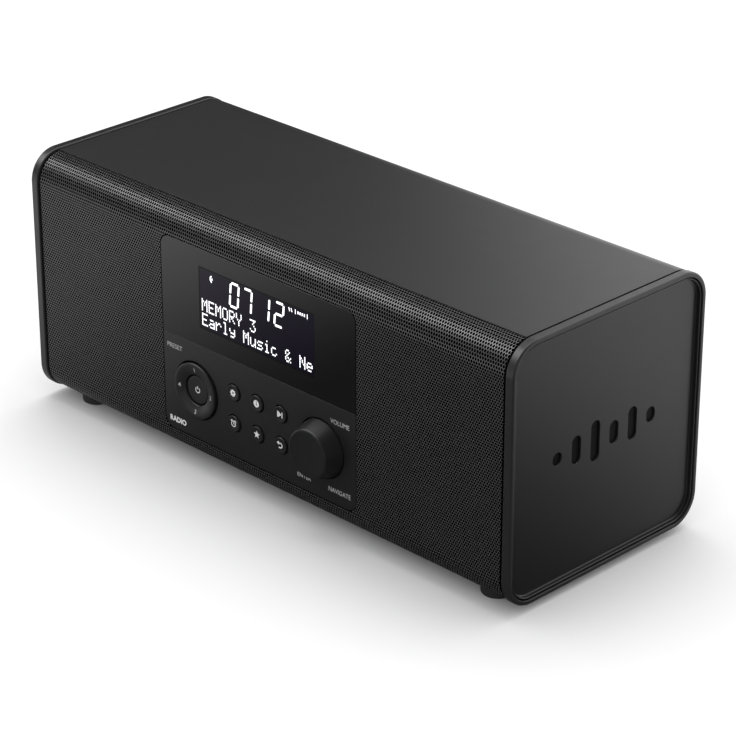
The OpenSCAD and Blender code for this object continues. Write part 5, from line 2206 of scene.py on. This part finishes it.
@dataclass
class Studio:
    """The pale floor, the soft lights, the reflection cards and the camera."""

    camera_place: Vector = field(default_factory=lambda: Vector((0.71882, -0.70813, 0.51833)))
    camera_back: Vector = field(default_factory=lambda: Vector((0.63994, -0.63723, 0.42944)))
    lens: float = 142.89
    sensor: float = 36.0
    floor_reach: float = 6.0
    sky: float = 1.0
    sky_seen: float = 0.2
    cards: tuple[Card, ...] = (
        Card("front_card", (-3, -3, -0.002), (0.1, 3, -0.0005), (0.14, -0.13, 0.0), 0.19, 0.40, 0.08, 1.1),
        Card("side_card", (0.1, -3, -0.002), (3, 3, -0.0005), (0.35, -0.45, 0.0), 0.465, 0.665, 0.06, 1.1),
        Card("strip_card", (-1.3, -0.65, 0.6), (0.2, -0.12, 0.61), (-0.5, -0.1, 0.6), 0.1, 0.7, 6.5, 1.0),
        Card("back_card", (-1.2, 0.35, 0.02), (0.6, 0.36, 0.8), (-0.85, 0.35, 0.3), 0.52, 0.78, 0.05, 1.6),
    )

    def build(self) -> None:
        """Sets up the studio."""
        self.camera()
        self.floor()
        self.world()
        self.lamp("softbox", (-0.3, 0.4, 2.2), 1.6, 22.0)
        for card in self.cards:
            card.build()
        bpy.context.scene.view_settings.view_transform = "Standard"

    def camera(self) -> None:
        """Places the camera, level, at the viewing angle."""
        data = bpy.data.cameras.new("camera")
        data.lens = self.lens
        data.sensor_width = self.sensor
        data.clip_end = 50.0
        made = bpy.data.objects.new("camera", data)
        bpy.context.scene.collection.objects.link(made)
        back = self.camera_back.normalized()
        right = Vector((0, 0, 1)).cross(back).normalized()
        up = back.cross(right)
        turn = Matrix((right, up, back)).transposed().to_4x4()
        made.matrix_world = Matrix.Translation(self.camera_place) @ turn
        bpy.context.scene.camera = made

    def floor(self) -> None:
        """Lays the pale floor."""
        mesh = bmesh.new()
        bmesh.ops.create_grid(mesh, x_segments=8, y_segments=8, size=self.floor_reach)
        data = bpy.data.meshes.new("floor")
        mesh.to_mesh(data)
        mesh.free()
        made = bpy.data.objects.new("floor", data)
        bpy.context.scene.collection.objects.link(made)
        finish = Finish("floor_white", (0.86, 0.86, 0.86), roughness=0.9, specular=0.0, drift=0.01,
                        drift_size=300.0, grain_size=20.0, grain_depth=0.0)
        data.materials.append(finish.material())
        made.visible_glossy = False

    def world(self) -> None:
        """Fills the room with even light, which reflections see more dimly."""
        world = bpy.data.worlds.new("studio")
        world.use_nodes = True
        tree = world.node_tree
        path = tree.nodes.new("ShaderNodeLightPath")
        level = tree.nodes.new("ShaderNodeMapRange")
        level.inputs["To Min"].default_value = self.sky
        level.inputs["To Max"].default_value = self.sky_seen
        tree.links.new(path.outputs["Is Glossy Ray"], level.inputs["Value"])
        tree.links.new(level.outputs["Result"], tree.nodes["Background"].inputs["Strength"])
        tree.nodes["Background"].inputs["Color"].default_value = (1, 1, 1, 1)
        bpy.context.scene.world = world

    def lamp(self, name: str, place: tuple[float, float, float], size: float, power: float) -> None:
        """Hangs one soft light that faces the radio.

        Args:
            name: Its name.
            place: Where it hangs, in metres.
            size: Its side in metres.
            power: Its power in watts.
        """
        data = bpy.data.lights.new(name, "AREA")
        data.size = size
        data.energy = power
        made = bpy.data.objects.new(name, data)
        bpy.context.scene.collection.objects.link(made)
        aim = Vector((0, 0, 0.05)) - Vector(place)
        made.matrix_world = Matrix.Translation(place) @ aim.to_track_quat("-Z", "Y").to_matrix().to_4x4()


def main() -> None:
    logging.basicConfig(level=logging.INFO, format="%(name)s %(message)s")
    parts = (
        Studio(), Cabinet(), Grille(), ControlPanel(), Display(),
        Controls(), Labels(), RearCover(), Aerial(), Insides(),
    )
    for part in parts:
        part.build()


if __name__ == "__main__":
    main()
